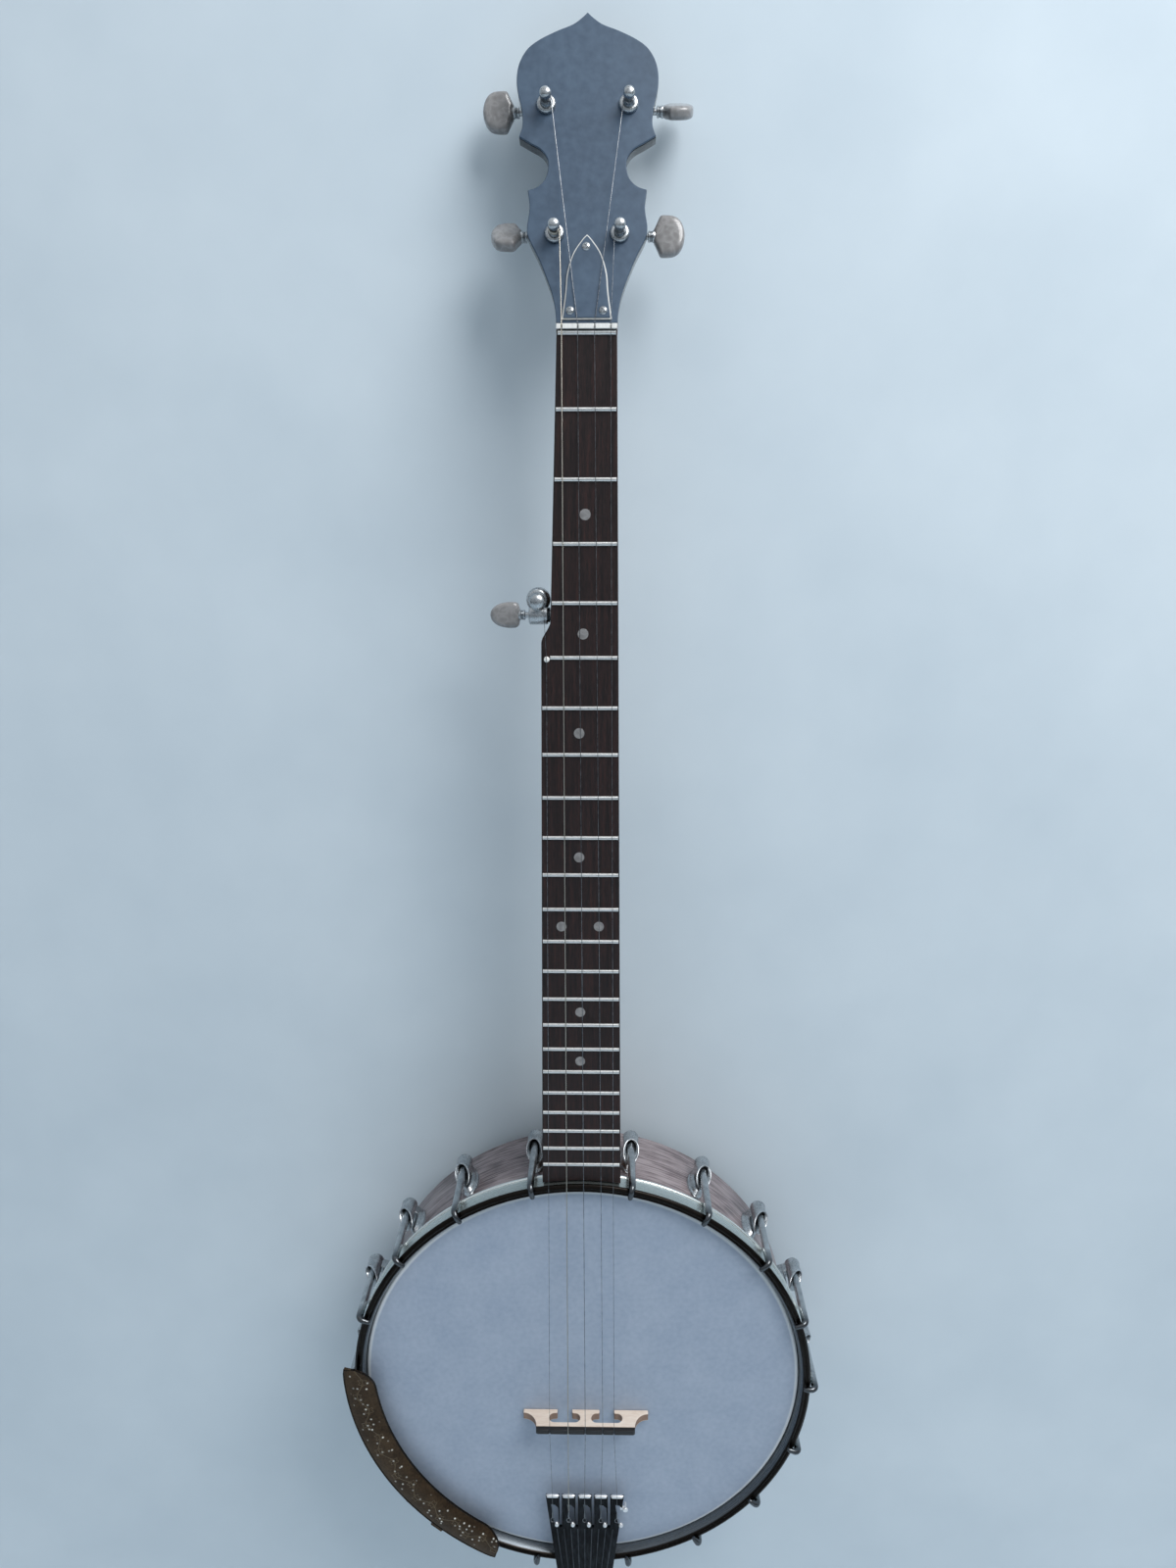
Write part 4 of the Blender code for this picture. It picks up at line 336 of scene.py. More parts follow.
def domed_oval(half_x, half_y, levels):
    """Stepped oval mound towards +Z: each (share, height) level is a smaller oval."""
    share, height = np.array(levels, float).T[:, :, None]
    turn = np.linspace(0, tau, 40, endpoint=False)
    ring = [half_x * share * np.cos(turn), half_y * share * np.sin(turn), np.broadcast_to(height, (len(share), 40))]
    return skin(np.stack(ring, -1))


foot = domed_oval(5.6, 12.6, [(0, -1), (1, -1), (1, 0.9), (0.95, 1.5), (0.86, 1.9), (0.80, 3.0), (0.70, 4.4),
                              (0.52, 5.1), (0, 5.2)])
points, quads, ends = turned([(2.7, 49), (2.7, 41), (3.4, 39.5), (4.5, 38.2), (5.0, 38.0), (5.4, 38.6), (5.2, 40.0),
                              (4.9, 42.0), (4.9, 46.8), (5.2, 47.6), (5.0, 48.6), (4.6, 49), (2.7, 49)], 40)
slope = np.clip((47 - points[:, 1]) / 9, 0, 1) * 0.5 * (1 - points[:, 2] / np.hypot(points[:, 0], points[:, 2]))
points[:, 1] -= 12.5 * slope
shoe = placed([foot], shift(0, 35.75, RIM_RADIUS)) + placed([(points, quads, ends)], shift(0, 0, HOOK_RADIUS))
shoe += [block((-2.6, 40.8, RIM_RADIUS - 1), (2.6, 48.2, HOOK_RADIUS - 3.4))]
shoes = [part for angle in HOOK_ANGLES for part in placed(shoe, spin(angle))]
piece("hook_shoes", shoes, POT, NICKEL, soft=0.35)

# Hooks: eighteen bent steel rods whose claws lie on the hoop. A hexagonal nut with a domed end pulls each one
# back through its shoe's ring.


def smooth(points, steps=6):
    """Catmull-Rom curve through the points: each stretch is a cubic whose ends lean along their neighbours."""
    points = np.array(points, float)
    ends = np.concatenate([points[:1], points, points[-1:]])
    p0, p1, p2, p3 = (ends[i:len(ends) - 3 + i, None] for i in range(4))
    t = np.linspace(0, 1, steps, endpoint=False)[None, :, None]
    curve = 0.5 * (2 * p1 + (p2 - p0) * t + (2 * p0 - 5 * p1 + 4 * p2 - p3) * t ** 2
                   + (3 * p1 - p0 - 3 * p2 + p3) * t ** 3)
    return np.concatenate([curve.reshape(-1, points.shape[1]), points[-1:]])


def tube(path, radius, across, sides=16):
    """Round tube: rings stand square to the path, turned so that across stays to one side."""
    path = np.array(path, float)
    tangent = np.gradient(path, axis=0)
    side = np.cross(tangent, across)
    side /= np.linalg.norm(side, axis=1, keepdims=True)
    other = np.cross(side, tangent)
    other /= np.linalg.norm(other, axis=1, keepdims=True)
    turn = np.linspace(0, tau, sides, endpoint=False)[None, :, None]
    radius = np.broadcast_to(radius, len(path))[:, None, None]
    return skin(path[:, None] + radius * (np.cos(turn) * side[:, None] + np.sin(turn) * other[:, None]), True)


def hexagon(profile, axis="Y"):
    """Six-sided nut turned from a profile of six points, with flat ends."""
    points, quads, ends = turned(profile, 6, axis)
    return points, quads, [np.arange(6), np.arange(30, 36)[::-1]]


HOOK_PLATE = finish("nickel plate, painted dark reflection at the claws", "nickel_plate", ("93979A", "B6BABD", "D0D3D5"), 5,
                    roughness=(0.14, 0.26), relief=0.02, Metallic=1.0)
tree = HOOK_PLATE.node_tree
depth = around_pot(tree, add(tree, "TexCoord", {}).outputs["Object"])[1]
# Painted reflection: the claws are painted darker towards the hoop's front, for the dark room that they reflect.
tint(tree, remap(tree, depth, 4.0 * MM, -6.0 * MM), "5A5D60")
CLAW_TOP = -7.6
CLAW_BEND = 3.2
bend = np.linspace(0, pi / 2, 8)
arc_path = np.stack([0 * bend, CLAW_TOP + CLAW_BEND * (1 - np.cos(bend)),
                     HOOK_RADIUS - CLAW_BEND + CLAW_BEND * np.sin(bend)], 1)
claw = np.concatenate([[[0, CLAW_TOP + 0.25, HOOK_RADIUS - 7.6], [0, CLAW_TOP + 0.2, HOOK_RADIUS - 7.3],
                        [0, CLAW_TOP + 0.1, HOOK_RADIUS - 6.6], [0, CLAW_TOP, HOOK_RADIUS - 5.4]], arc_path,
                       [[0, 3.0, HOOK_RADIUS], [0, 28.0, HOOK_RADIUS], [0, 49.3, HOOK_RADIUS]]])
claw_radius = np.interp(np.arange(len(claw)), [0, 1, 2, 4, 8, 12, len(claw)], [0.7, 1.2, 1.5, 1.75, 2.0, 2.4, 2.4])
rod = tube(claw, claw_radius, (1, 0, 0))
nut = hexagon([(2.2, 49.2), (3.0, 49.2), (3.4, 49.6), (3.4, 51.6), (3.0, 52.0), (2.2, 52.0)])
acorn = turned([(0, 51.8), (2.7, 51.8), (2.8, 52.6), (2.8, 55.4), (2.5, 56.6), (1.7, 57.5), (0, 57.9)], 24)
for number, angle in enumerate(HOOK_ANGLES):
    label = f"{'right' if angle > 0 else 'left'}_{number % HOOKS_A_SIDE + 1}"
    piece(f"hook_and_nut_{label}", placed([rod, nut, acorn], spin(angle)), POT, HOOK_PLATE,
          stands_for=[f"hook_{label}"])

# Neck: one piece of stained maple from the heel, cut hollow to fit the pot, to the end of the headstock. Its
# back is carved round and swells into the headstock behind the nut.

SCALE = 666.75
HEAD_IN_NECK = np.array([0, 4.74, -(SCALE + 0.5 - 27.8)])
NECK = POT @ spin(-1.65, "X") @ shift(*-HEAD_IN_NECK)
FACE = NECK @ shift(0, 1.5, 6.0) @ spin(-13.0, "X")
AXIS_X = 3.8            # nut and headstock lie right of the pot's axis
NUT_HALF = 15.65
HEEL_HALF = 24.2
HOOP_CLEARANCE = 148.65
BOARD_LENGTH = -(HEAD_IN_NECK[2] + HOOP_CLEARANCE)
STEP_START, STEP_END = 147.0, 159.6     # the left edge steps out below the nut, for the fifth string
FIFTH_X, FIFTH_DEPTH, FIFTH_Z = -23.2, 10.0, -144.7     # worm of the fifth string's tuner
LACQUERED = finish("stained maple, gloss lacquer", "neck_maple", ("3A2418", "573724", "6E4A31"), 9, (0.35, 0.35, 9),
                   (0.2, 0.32), 0.03, Coat_Weight=0.6, Coat_Roughness=0.08)
# The lacquer turns black round the headstock, from just above the nut.
tree = LACQUERED.node_tree
height = add(tree, "SeparateXYZ", {"Vector": add(tree, "TexCoord", {}).outputs["Object"]}).outputs["Z"]
nut_height = NECK[2, 3]
tint(tree, remap(tree, height, (nut_height + 2.0) * MM, (nut_height + 14.0) * MM), "1A1C1F")


def soft_step(share):
    share = np.clip(share, 0, 1)
    return share * share * (3 - 2 * share)


def edges(z):
    """Left and right edge of the fingerboard at heights in the neck's frame, with the fifth string's step."""
    below = -np.array(z, float)
    nut_left, nut_right = AXIS_X - NUT_HALF, AXIS_X + NUT_HALF
    upper = nut_left + (-16.2 - nut_left) * below / STEP_START
    widening = (np.clip(below, STEP_END, BOARD_LENGTH) - STEP_END) / (BOARD_LENGTH - STEP_END)
    lower = -21.4 - (HEEL_HALF - 21.4) * widening
    step = -16.2 - 5.2 * soft_step((below - STEP_START) / (STEP_END - STEP_START))
    left = np.where(below < STEP_START, upper, np.where(below < STEP_END, step, lower))
    right = nut_right + (HEEL_HALF - nut_right) * np.clip(below, 0, BOARD_LENGTH) / BOARD_LENGTH
    return left, right


def carve(target, matrix, *skins, operation="DIFFERENCE"):
    """Boolean of the target with skins in a frame's millimetres, applied to the target's mesh."""
    tool = piece("tool", skins, matrix, target.data.materials[0])
    cut = target.modifiers.new("carve", "BOOLEAN")
    cut.operation = operation
    cut.object = tool
    bpy.context.view_layer.update()
    target.data = bpy.data.meshes.new_from_object(target.evaluated_get(bpy.context.evaluated_depsgraph_get()))
    target.modifiers.clear()
    bpy.data.objects.remove(tool)
    shade(target.data, 35)
    return target


heel_start = BOARD_LENGTH - 83.0
heights = -np.concatenate([np.linspace(-4.0, 145, 30), np.linspace(STEP_START, STEP_END, 12),
                           np.linspace(164, heel_start, 40), np.linspace(heel_start + 2, heel_start + 60, 30),
                           [BOARD_LENGTH + 13.6]])
left, right = edges(heights)
heel = soft_step((-heights - heel_start) / 60.0)
shaft_depth = 14.0 + 3.5 * soft_step(-heights / heel_start)
depth = shaft_depth + (58.0 - shaft_depth) * heel
round_turn = np.linspace(0, pi, 33)[None]
narrow = 1 - 0.22 * heel[:, None] * np.sin(round_turn)
shaft = np.stack([((left + right) / 2)[:, None] + ((right - left) / 2)[:, None] * np.cos(round_turn) * narrow,
                  6.3 + depth[:, None] * np.sin(round_turn), np.broadcast_to(heights[:, None], narrow.shape)], -1)
swell_height = np.linspace(40, 3.5, 18)[:, None]
swell = soft_step(swell_height / 36)
power = 1 - 0.62 * swell
swell_half = np.interp(swell_height, [0, 7, 16, 31, 42], [15.4, 16.2, 18.2, 23.6, 29.0])
swell_depth = 13.9 + 3.6 * (1 - swell)
volute = np.stack([AXIS_X + swell_half * np.sign(np.cos(round_turn)) * np.abs(np.cos(round_turn)) ** power,
                   1.9 + swell_depth * np.sin(round_turn) ** power,
                   np.broadcast_to(swell_height, (18, 33))], -1)
to_neck = np.linalg.inv(NECK) @ FACE
volute = volute @ to_neck[:3, :3].T + to_neck[:3, 3]
NECK_WOOD = piece("neck_wood", [skin(np.concatenate([volute, shaft]), True)], NECK, LACQUERED, stands_for=["neck"])

HEADSTOCK_TIP = 158.3
lower = smooth([(15.7, -1.1), (16.5, 7), (18.6, 16), (24.4, 31), (29.9, 42.3), (31.0, 48.0), (29.7, 58),
                (30.7, 67.2)])
waist = smooth([(30.7, 67.2), (25.8, 68.9), (22.1, 72.4), (20.4, 77), (20.3, 82.6), (23.6, 87.8), (30.0, 91.6),
                (35.3, 94.8)])
crown = smooth([(35.3, 94.8), (33.5, 100.5), (33.9, 109), (36.4, 121), (35.6, 131), (31.6, 139), (25.4, 144.1),
                (16.2, 148.7), (7.7, 152.1), (2.8, 155.6), (0, HEADSTOCK_TIP)])
half_outline = np.concatenate([lower[:-1], waist[:-1], crown])
headstock_outline = np.concatenate([half_outline * (1, 1), (half_outline * (-1, 1))[-2::-1]]) + (AXIS_X, 0)
TUNERS = {"third": (AXIS_X - 21.2, 110.8, -1, 0), "second": (AXIS_X + 21.2, 110.8, 1, 54),
          "fourth": (AXIS_X - 16.8, 44.6, -1, 36), "first": (AXIS_X + 16.8, 44.6, 1, 0)}
# The back edge is drawn in by 5 mm along inward directions that are averaged over 11 mm, so corners stay open.
ends = headstock_outline - np.where(headstock_outline[:, 1:] < 1, (0, 5.0), 0)
sides = np.diff(ends, axis=0)
length = np.linalg.norm(sides, axis=1)
travel = np.concatenate([[0], np.cumsum(length)])
near = np.maximum(1 - np.abs(travel[:-1] + length / 2 - travel[:, None]) / 11.0, 0.02)
inward = near @ np.stack([-sides[:, 1], sides[:, 0]], 1)
inward *= np.clip((HEADSTOCK_TIP - ends[:, 1:]) / 2.8, None, 5.0) / np.linalg.norm(inward, axis=1, keepdims=True)
levels = np.stack([np.insert(side, 1, y, axis=1) for side, y in ((ends, 1.8), (ends, 7.8), (ends + inward, 15.8))])
carve(NECK_WOOD, FACE, skin(levels, True), operation="UNION")
tuner_hole = turned([(0, -4), (4.35, -4), (4.35, 20), (0, 20)], 32)
HOLES = [moved(tuner_hole, shift(x, 0, z)) for x, z, side, tilt in TUNERS.values()]
HOLES += [block((AXIS_X - 6.4, -2, 3.0), (AXIS_X + 6.4, 12.6, 26.0))]
carve(NECK_WOOD, FACE, *HOLES)
pot_space = [(0, -60), (HOOP_CLEARANCE, -60), (HOOP_CLEARANCE, 9.9), (140.0, 9.9), (140.0, 120), (0, 120)]
carve(NECK_WOOD, POT, turned(pot_space, 240))
carve(NECK_WOOD, NECK, block((AXIS_X / 2 - 2.8, 5, -443), (AXIS_X / 2 + 2.8, 12.5, 26)))
shank_hole = turned([(0, -1), (3.5, -1), (3.5, 14.6), (0, 14.6)], 32, "X")
carve(NECK_WOOD, NECK, moved(shank_hole, shift(FIFTH_X, FIFTH_DEPTH, FIFTH_Z)))
soften(NECK_WOOD, 0.5)

# Truss rod: the CAD rod and its nut lie in the neck's channel, out of sight, and keep their own shapes.

STEEL = finish("bright steel", "steel", ("7B7E82", "9DA0A4", "B2B5B8"), 3, (1, 1, 8), (0.22, 0.36), 0.02,
               Metallic=1.0)
BRASS = finish("turned brass", "brass", ("8F6E33", "B08D4A", "C4A462"), 3, roughness=(0.25, 0.4), Metallic=1.0)
for node, metal in (("truss_rod", STEEL), ("truss_rod_nut", BRASS)):
    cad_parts[node].data.materials.clear()
    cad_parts[node].data.materials.append(metal)

# Fingerboard: a rosewood strip glued to the neck, with a fret wire hammered into a saw cut at each fret and
# pearl dots let in flush.

ROSEWOOD = finish("oiled rosewood", "rosewood", ("0F0B0B", "1C1415", "2B1D1C", "3C2320"), 3.2, (0.5, 0.5, 14),
                  (0.42, 0.6), 0.06, Specular_IOR_Level=0.35)
board_z = -np.concatenate([[-1.5], np.linspace(STEP_START, STEP_END, 14)])
board_left = np.stack([edges(board_z)[0], board_z], 1)
end_x = np.linspace(-HEEL_HALF, HEEL_HALF, 33)
board_end = np.stack([end_x, HEAD_IN_NECK[2] + np.sqrt(HOOP_CLEARANCE ** 2 - end_x ** 2)], 1)
board_outline = np.concatenate([board_left, board_end, [[edges(1.5)[1], 1.5]]])
piece("fingerboard_wood", [prism(board_outline, 0, 6.0)], NECK, ROSEWOOD, stands_for=["fingerboard"], soft=0.3)

fret_z = -SCALE * (1 - 2.0 ** (-np.arange(23) / 12))
fret_left, fret_right = edges(fret_z)
fret_left[5] = -17.1
bow = np.linspace(0, pi, 9)
fret_crown = np.stack([-1.15 * np.cos(bow), -1.1 * np.sin(bow) ** 0.8], 1)
fret_crown = np.concatenate([fret_crown, [(0.35, 0.3), (0.35, 1.2), (-0.35, 1.2), (-0.35, 0.3)]])
FRET_WIRE = finish("nickel silver wire", "nickel_plate", ("DADAD8", "E8E8E6", "F2F2F0"), 2, (8, 1, 1), (0.25, 0.4),
                   Metallic=1.0)
fret_bars = [moved(prism(fret_crown[:, ::-1], a + 0.6, b - 0.6, "YZX"), shift(0, 0, z))
             for a, b, z in zip(fret_left, fret_right, fret_z)]
piece("fret_wires", fret_bars, NECK, FRET_WIRE, crease=60)

PEARL, tree, place = blank("pearloid", "pearloid")
swirl = tap(tree, "TexNoise", {"Vector": place, "Scale": 160.0, "Detail": 2.0, "Distortion": 2.2})
patch = add(tree, "TexVoronoi", {"Vector": place, "Scale": 330.0}, feature="SMOOTH_F1").outputs["Distance"]
flow = maths(tree, "ADD", swirl, patch)
band = remap(tree, flow, 0.6, 1.3)
tone = tap(tree, "ValToRGB", {"Fac": band}, [(0.0, "7A7878"), (0.35, "838282"), (0.6, "8F8E8E"), (1.0, "7E7C7C")])
sheen = remap(tree, swirl, to_low=0.16, to_high=0.3)
dress(tree, Base_Color=tone, Roughness=sheen, Coat_Weight=0.5, Coat_Roughness=0.1)
DOT_PLACES = ((2.8, -90.8), (1.6, -154.3), (-0.7, -209.6), (-0.9, -282.0), (-11.3, -324.2), (10.5, -324.1),
              (-0.5, -378.2), (-0.6, -410.1))
dot = turned([(0, -0.04), (2.9, -0.04), (3.1, 0.1), (3.1, 1.0), (0, 1.0)], 40)
piece("position_dots", [moved(dot, shift(x, 0, z)) for x, z in DOT_PLACES], NECK, PEARL)

# Nut: a bone block across the end of the fingerboard with a slot for each of the four long strings.

STRING_AT_NUT = {"fourth": -9.2, "third": -0.9, "second": 7.8, "first": 16.1}
BONE = finish("polished bone", "bone", ("E6E6E2", "F0F0EC", "F7F7F4"), 4, (1, 1, 5), (0.3, 0.42), 0.02,
              Coat_Weight=0.1)
notch = np.array([(-0.55, -2.3), (-0.45, -1.3), (-0.25, -1.12), (0.25, -1.12), (0.45, -1.3), (0.55, -2.3)])
nut_top = np.concatenate([notch + (x, 0) for x in STRING_AT_NUT.values()])
nut_outline = np.concatenate([[(AXIS_X - NUT_HALF, 6.0), (AXIS_X - NUT_HALF, -2.3)], nut_top,
                              [(AXIS_X + NUT_HALF, -2.3), (AXIS_X + NUT_HALF, 6.0)]])
piece("nut_block", [prism(nut_outline, 1.8, 4.2, "XYZ")], NECK, BONE, stands_for=["nut"], soft=0.25)

# Fifth-string pip: a small turned bone post pressed into the fingerboard just below the fifth fret.

PIP_X, PIP_Z = -18.4, fret_z[5] - 0.9
pip = turned([(0, -2.0), (0.9, -1.95), (1.35, -1.7), (1.6, -1.2), (1.6, -0.35), (1.0, -0.3), (1.0, 4.0),
              (0, 4.0)], 32)
piece("fifth_string_pip_post", [pip], NECK @ shift(PIP_X, 0, PIP_Z), BONE, stands_for=["fifth_string_pip"])

# Headstock front: a thin veneer in satin black lacquer, painted blue-grey as a painted reflection of the sky, and
# over the truss rod's pocket a bare cover of black and white plastic, bevelled so that its white ply shows. Neither
# carries any lettering.

# The black lacquer's blue-grey tone is a painted reflection of the sky; the truss rod cover's black ply shares it.
BLACK = finish("satin black lacquer, painted sky reflection", "black_lacquer", ("374A5E", "3E5267", "455A6F"), 30, roughness=(0.38, 0.5),
               relief=0.01)
veneer = piece("headstock_veneer", [prism(headstock_outline, 0, 1.5)], FACE, BLACK, stands_for=["headstock_overlay"])
carve(veneer, FACE, *HOLES)
soften(veneer, 0.4)
cover_side = smooth([(12.9, 0.4), (11.1, 14), (10.2, 24), (7.2, 34), (2.6, 41), (0, 43.8)], 8)
cover_outline = np.concatenate([cover_side, (cover_side * (-1, 1))[-2::-1]]) + (AXIS_X, 0)
middle = np.array([AXIS_X, 16.0])
inner_outline = middle + (cover_outline - middle) * (0.935, 0.965)
piece("truss_rod_cover_plate", [prism(inner_outline, -1.9, -0.9)], FACE, BLACK, stands_for=["truss_rod_cover"],
      soft=0.2)
WHITE_PLY = finish("white plastic ply", "black_lacquer", ("D8D8D4", "E6E6E2"), 8, roughness=(0.3, 0.4))
piece("truss_rod_cover_ply", [prism(cover_outline, -1.2, -0.3)], FACE, WHITE_PLY, soft=0.2)
SCREW_PLACES = ((-8.6, 4.6), (8.4, 4.6), (-0.4, 37.4))
screw = turned([(0, -1.0), (1.0, -0.95), (1.8, -0.6), (2.2, -0.1), (2.2, 0.3), (0.9, 0.35), (0.9, 5.0), (0, 5.0)], 32)
screws = [moved(screw, shift(AXIS_X + x, -1.9, z)) for x, z in SCREW_PLACES]
cover_screws = piece("cover_screws", screws, FACE, NICKEL)
cross = [block((-1.3, -1.3, -0.27), (1.3, -0.35, 0.27)), block((-0.27, -1.25, -1.3), (0.27, -0.4, 1.3))]
for bar in cross:
    carve(cover_screws, FACE, *[moved(bar, shift(AXIS_X + x, -1.9, z) @ spin(35)) for x, z in SCREW_PLACES])

# Four headstock tuners: a die-cast housing screwed behind the headstock, a ring bushing pressed in from the
# front, a post with a gear at its foot, and a pearl button pressed on the shaft of the worm that turns it.

MODULE = 0.75
LEAD = pi * MODULE
WORM_BEHIND = 19.95
WORM_OFFSET = MODULE * 14 / 2 + 2.95


def gear(teeth, worm_radius, middle):
    """Skin of a gear about Y: trapezoid teeth, turned along the face to follow the worm's thread."""
    pitch = MODULE * teeth / 2
    root, crest = pitch - 0.85, pitch + 0.55
    half_crest, half_root = (0.43 - 0.121) / crest, (0.43 + 0.187) / root
    y = np.array([-1.5, -1.5, 1.5, 1.5])[:, None]
    share = np.array([0, 1, 1, 0])[:, None]
    tooth = np.repeat(tau * (np.arange(teeth) + 0.5) / teeth, 4)
    turn = tooth + np.tile([-half_root, -half_crest, half_crest, half_root], teeth)
    radius = np.tile([root, crest, crest, root], teeth) * share
    turn = turn + y * LEAD / (tau * worm_radius) / pitch
    return skin(np.stack([radius * np.sin(turn), np.broadcast_to(y + middle, turn.shape), radius * np.cos(turn)], -1))


def worm(worm_radius, tail, nose, sides=24):
    """Skin of a worm and its shaft about X: each row climbs one lead round the shaft, held in at the ends."""
    half = 1.5 * LEAD
    turn = tau * np.arange(sides + 1) / sides
    offset = np.tile([-0.587, -0.279, 0.279, 0.587], 7)[:, None]
    height = np.tile([0.0, 1.4, 1.4, 0.0], 7)[:, None]
    x = LEAD * (np.repeat(np.arange(-3, 4), 4)[:, None] + (turn + pi / 2) / tau) + offset
    kept = np.clip(x, -half, half)
    radius = worm_radius - 0.85 + height * np.clip((half - np.abs(kept)) / (LEAD * 0.3), 0, 1)
    rows = np.stack([kept, radius * np.cos(turn), radius * np.sin(turn)], -1)
    ends = [[(x, r * cos(a), r * sin(a)) for a in turn.tolist()] for x, r in
            ((-tail, 0.0), (-tail, 1.6), (-half, 1.6), (half, 1.6), (nose, 1.6), (nose, 0.0))]
    rows = np.concatenate([ends[:3], rows, ends[3:]])
    return skin(rows[:, :-1])


def button(start, length, width, outline):
    """Skin of a flat pearl knob: its outline shrinks to the middle of each face by a superellipse."""
    side = smooth(outline, 5) * (length, width / 2) + (start, 0)
    ring = np.concatenate([side, (side * (1, -1))[::-1]])
    centre = np.array([start + length / 2, 0])
    turn = np.linspace(0, pi, 19)[:, None]
    share = np.sin(turn) ** 0.32
    across = 3.5 * np.sign(np.cos(turn)) * np.abs(np.cos(turn)) ** 0.7
    flat = centre + (ring - centre) * share[:, :, None]
    return skin(np.stack([flat[:, :, 0], np.broadcast_to(across, flat.shape[:2]), flat[:, :, 1]], -1))


def collar(start, radius):
    """Skin of the ridged metal collar between a button and its shaft."""
    x = start + np.array([-3.0, -3.0, -2.6, -2.1, -1.7, -1.3, -0.9, -0.4, 0.2, 1.2, 1.2])
    r = radius * np.array([0, 0.75, 0.95, 0.95, 0.8, 0.95, 0.8, 1.0, 1.0, 0.85, 0])
    return turned(np.stack([r, x], 1), 32, "X")


def coil(radius, thick, front, back, turns):
    """Skin of string wound round a post: a helix about Y whose rings stay square to it."""
    t = np.linspace(0, 1, int(turns * 16))
    turn = tau * turns * t
    path = np.stack([radius * np.sin(turn), front + (back - front) * t, radius * np.cos(turn)], 1)
    return tube(path, thick, (0, 1, 0), 6)


POST_WAIST = 2.46       # where the string is wound on
KEYSTONE = [(0, 0.0), (0, 0.27), (0.05, 0.45), (0.11, 0.65), (0.17, 0.86), (0.22, 0.97), (0.28, 1.0), (0.45, 1.0),
            (0.64, 0.96), (0.81, 0.81), (0.92, 0.56), (0.98, 0.28), (1.0, 0.0)]
STRING_RADIUS = {"fifth": 0.13, "fourth": 0.29, "third": 0.20, "second": 0.16, "first": 0.13}
bushing = turned([(3.15, -2.6), (3.5, -2.6), (4.2, -2.5), (4.7, -2.1), (5.0, -1.4), (5.0, -0.3), (4.1, -0.3),
                  (4.1, 15.2), (3.15, 15.2), (3.15, -2.6)], 40)
post = turned([(0, -12.6), (1.4, -12.5), (2.3, -12.1), (2.8, -11.4), (3.0, -10.6), (3.0, -9.2), (2.85, -8.8),
               (2.5, -8.3), (POST_WAIST, -4.4), (2.7, -3.5), (3.0, -3.0), (3.0, 18.9), (1.5, 18.9), (1.5, 26.2),
               (0, 26.2)], 40)
hole = turned([(0, -4), (0.6, -4), (0.6, 4), (0, 4)], 12, "X")
housing = block((-7.25, 16.1, -7.25), (7.25, 24.9, 14.3))
inside = block((-6.15, 15, -6.15), (6.15, 23.8, 13.2))
shaft_bore = moved(turned([(0, -9), (1.75, -9), (1.75, 9), (0, 9)], 24, "X"), shift(0, WORM_BEHIND, WORM_OFFSET))
foot_bore = turned([(0, 20), (1.65, 20), (1.65, 28), (0, 28)], 24)
case_screw = turned([(0, 24.7), (1.5, 24.7), (1.5, 25.1), (1.1, 25.4), (0, 25.5)], 20)
case_screws = [moved(case_screw, shift(a, 0, b)) for a in (-4.8, 4.8) for b in (-4.8, 11.6)]
for name, (x, z, side, tilt) in TUNERS.items():
    place = FACE @ shift(x, 0, z)
    turned_over = shift(0, WORM_BEHIND, WORM_OFFSET) @ (spin(180, "Z") if side < 0 else np.eye(4))
    body = f"{name}_tuner_post"
    piece(f"{name}_tuner_ring_bushing", [bushing], place, NICKEL, stands_for=[f"{name}_tuner_bushing"])
    spindle = piece(f"{name}_tuner_string_post", [post], place, NICKEL, body, [body])
    carve(spindle, place, moved(hole, shift(0, -6.2, 0)))
    piece(f"{name}_tuner_gear", [gear(14, 2.95, WORM_BEHIND)], place, BRASS, body)
    box = piece(f"{name}_tuner_case", [housing], place, NICKEL, stands_for=[f"{name}_tuner_housing"])
    soften(box, 1.6, 4)
    for hollow in (inside, shaft_bore, foot_bore):
        carve(box, place, hollow)
    piece(f"{name}_tuner_case_screws", case_screws, place, NICKEL)
    turning = f"{name}_tuner_button"
    knob = moved(button(18.2, 16.6, 21.6, KEYSTONE), turned_over @ spin(-side * tilt, "X"))
    piece(f"{name}_tuner_pearl_knob", [knob], place, PEARL, turning, [turning])
    piece(f"{name}_tuner_worm_shaft", placed([worm(2.95, 7.3, 17.0), collar(18.2, 3.1)], turned_over), place, NICKEL,
          turning)

# Fifth-string tuner: a barrel pushed into the neck's left side, with its worm across it, a gear chamber in
# front and a capped post. It is the headstock tuner turned over, so its worm lies below the post.

FIFTH_OFFSET = MODULE * 13 / 2 + 3.5
FIFTH = NECK @ shift(FIFTH_X, 0, FIFTH_Z + FIFTH_OFFSET) @ spin(180, "Y")
to_worm = shift(0, FIFTH_DEPTH, FIFTH_OFFSET)
knurl = np.stack([4.2 - 0.25 * (np.arange(13) % 2), np.linspace(-6.5, -5.3, 13)], 1).tolist()
barrel = turned([(0, -14), (2.8, -14), (3.2, -13.5), (3.2, -6.5)] + knurl + [(4.9, -5.3), (5.3, -4.8), (5.3, 4.5),
                (4.7, 5.3), (0, 5.3)], 48, "X")
chamber = turned([(0, 6.5), (4.4, 6.5), (5.2, 6.8), (6.0, 7.6), (6.68, 8.6), (6.68, 12.3), (6.2, 12.75),
                  (0, 12.75)], 48)
case = piece("fifth_tuner_case", [moved(barrel, to_worm)], FIFTH, NICKEL, stands_for=["fifth_tuner_housing"])
carve(case, FIFTH, chamber, operation="UNION")
